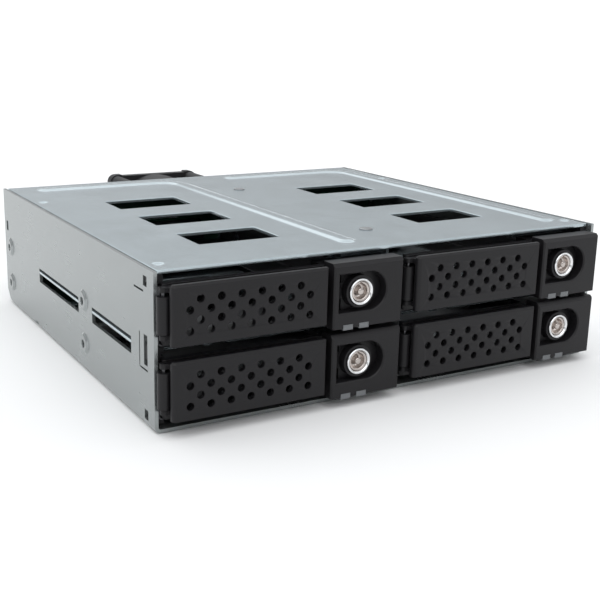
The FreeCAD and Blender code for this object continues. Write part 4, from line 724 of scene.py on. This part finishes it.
chips, leads, ceramics, ends, cans = [], [], [], [], []
for side in (-1, 1):
    cx = side * CHIP_X
    chips.append(rounded_box(cx, CHIP_Z, *CHIP))
    for k in np.arange(-4, 5) * LEAD_PITCH:
        for turn in (-1, 1):
            leads.append(rounded_box(cx + k, CHIP_Z + turn * LEAD_AT, *UPRIGHT_LEAD))
            leads.append(rounded_box(cx + turn * LEAD_AT, CHIP_Z + k, *SIDE_LEAD))
    for k in range(7):
        px = side * (CERAMIC_X + CERAMIC_STEP * k)
        pz = CERAMIC_Z + CERAMIC_STAGGER * (k % 2)
        ceramics.append(rounded_box(px, pz, *CERAMIC))
        ends += [rounded_box(px + turn * CERAMIC_END, pz, *CERAMIC_CAP) for turn in (-1, 1)]
    for x, z, radius in CANS:
        foot = radius + FOOT_WIDER
        chips.append(rounded_box(side * x, z, foot, foot, FOOT_HEIGHT, FOOT_POWER))
        profile = [(radius * share, depth) for share, depth in CAN] + [CAN_CENTRE]
        cans.append(skin(spun((side * x, BOARD_BACK, z), profile)))
for name, parts, finish, slot in (
        ("board_chips", chips, "chip_black", "connector_black"),
        ("chip_leads", leads, "solder_tin", "screw_steel"),
        ("ceramic_parts", ceramics, "ceramic_tan", "connector_black"),
        ("ceramic_ends", ends, "solder_tin", "screw_steel"),
        ("capacitor_cans", cans, "solder_tin", "screw_steel")):
    piece_of(name, parts, finish, CAGE)
print("board parts:", len(chips) + len(ceramics) + len(cans))

# %% [markdown]
# ## Room, light and camera
# The cage stands on a pale ground under one broad soft lamp. Metal needs something to mirror, so
# the background is a soft white room, and the room gives most of the light.

# %% Floor
FLOOR_HALF, FLOOR_GAP = 3.0, 0.0002     # metres; the gap keeps ground and steel from flickering


def stage_floor():
    """A pale square of ground just under the cage."""
    size, low = FLOOR_HALF, cad_bounds[0][2] - FLOOR_GAP
    mesh = bpy.data.meshes.new("floor")
    corners = [(-size, -size, low), (size, -size, low), (size, size, low), (-size, size, low)]
    mesh.from_pydata(corners, [], [(0, 1, 2, 3)])
    floor = placed("floor", mesh)
    f = Finish("pale sweep", Roughness=0.9, Specular_IOR_Level=0.1)
    tint = f.noise(3.0, 1.0)
    f.give("Base Color", f.mix(tint, (0.90, 0.90, 0.90), (0.93, 0.93, 0.93)))
    mesh.materials.append(f.material)


stage_floor()

# %% Lights
LAMP_FROM, LAMP_POWER, LAMP_SPREAD = (-0.30, -0.60, 1.0), 0.55, 60.0    # the spread in degrees
SKY_TINT = (0.97, 0.985, 1.0, 1.0)
# The sky's strength by height, from the horizon at 0 to straight overhead at 1.
SKY_STOPS = ((0.0, 1.15), (0.03, 1.10), (0.07, 0.42), (0.14, 0.50), (0.24, 0.62), (0.34, 0.55),
             (0.42, 1.70), (0.60, 1.30), (0.85, 1.15), (1.0, 1.20))
# Each change runs between two values along an axis, from one strength to another.
DIM_RIGHT = (0.28, 0.55, 1.0, 0.84)     # along X
DIM_NEAR = (-0.9, 0.1, 0.90, 1.0)       # along Y, so dimmer behind the camera
RIM_HEIGHT = (0.0, 0.05, 1.8, 0.0)      # a bright line along the horizon,
RIM_DEPTH = (0.2, 0.8)                  # on the far side only


def soft_sun():
    """One distant lamp, as wide as its spread, shining towards the origin."""
    lamp = bpy.data.lights.new("overhead", "SUN")
    lamp.energy = LAMP_POWER
    lamp.angle = math.radians(LAMP_SPREAD)
    holder = placed("overhead", lamp)
    holder.rotation_euler = (-Vector(LAMP_FROM)).to_track_quat("-Z", "Y").to_euler()
    holder.location = LAMP_FROM


def white_room():
    """A room as bands of height, dimmed a little on the right and behind the camera."""
    world = bpy.data.worlds.new("white room")
    world.use_nodes = True
    tree = world.node_tree
    way = tree.nodes.new("ShaderNodeSeparateXYZ")
    tree.links.new(tree.nodes.new("ShaderNodeTexCoord").outputs["Generated"], way.inputs[0])
    aside, deep, height = (Wire(tree, way.outputs[axis]) for axis in "XYZ")
    rim = abs(height).span(*RIM_HEIGHT) * deep.span(*RIM_DEPTH)
    curve = sum(height.span(low, high, 0.0, to_high - to_low)
                for (low, to_low), (high, to_high) in zip(SKY_STOPS, SKY_STOPS[1:]))
    strength = curve + SKY_STOPS[0][1]
    sky = tree.nodes["Background"]
    sky.inputs["Color"].default_value = SKY_TINT
    plug(tree, sky.inputs["Strength"],
         strength * deep.span(*DIM_NEAR) * aside.span(*DIM_RIGHT) + rim)
    bpy.context.scene.world = world


soft_sun()
white_room()
bpy.context.scene.view_settings.view_transform = "Standard"
print("a soft lamp and a white room")

# %% Camera
CAMERA_PLACE = (-0.16010, -0.29701, 0.09773)
HEADING, DIP, ROLL = 28.504, 13.990, 0.772      # degrees; a roll lifts the camera's right side
LENS_MM, SENSOR_MM, SHIFT, NEAREST = 58.74, 36.0, (0.0792, -0.0434), 0.01


def stand_camera():
    """A camera built from its three axes: forward by heading and dip, then rolled."""
    turn, dip, roll = (math.radians(angle) for angle in (HEADING, DIP, ROLL))
    ct, st, cd, sd = math.cos(turn), math.sin(turn), math.cos(dip), math.sin(dip)
    forward = Vector((st * cd, ct * cd, -sd))
    right = Vector((ct, -st, 0.0))
    up = right.cross(forward)
    level_right = right * math.cos(roll) + up * math.sin(roll)
    level_up = up * math.cos(roll) - right * math.sin(roll)
    data = bpy.data.cameras.new("camera")
    data.lens, data.sensor_width, data.clip_start = LENS_MM, SENSOR_MM, NEAREST
    data.shift_x, data.shift_y = SHIFT
    camera = placed("camera", data)
    camera.matrix_world = Matrix((
        (level_right.x, level_up.x, -forward.x, CAMERA_PLACE[0]),
        (level_right.y, level_up.y, -forward.y, CAMERA_PLACE[1]),
        (level_right.z, level_up.z, -forward.z, CAMERA_PLACE[2]),
        (0, 0, 0, 1)))
    bpy.context.scene.camera = camera


stand_camera()
print("camera set")

# %% [markdown]
# ## End

# %% End
print("done")
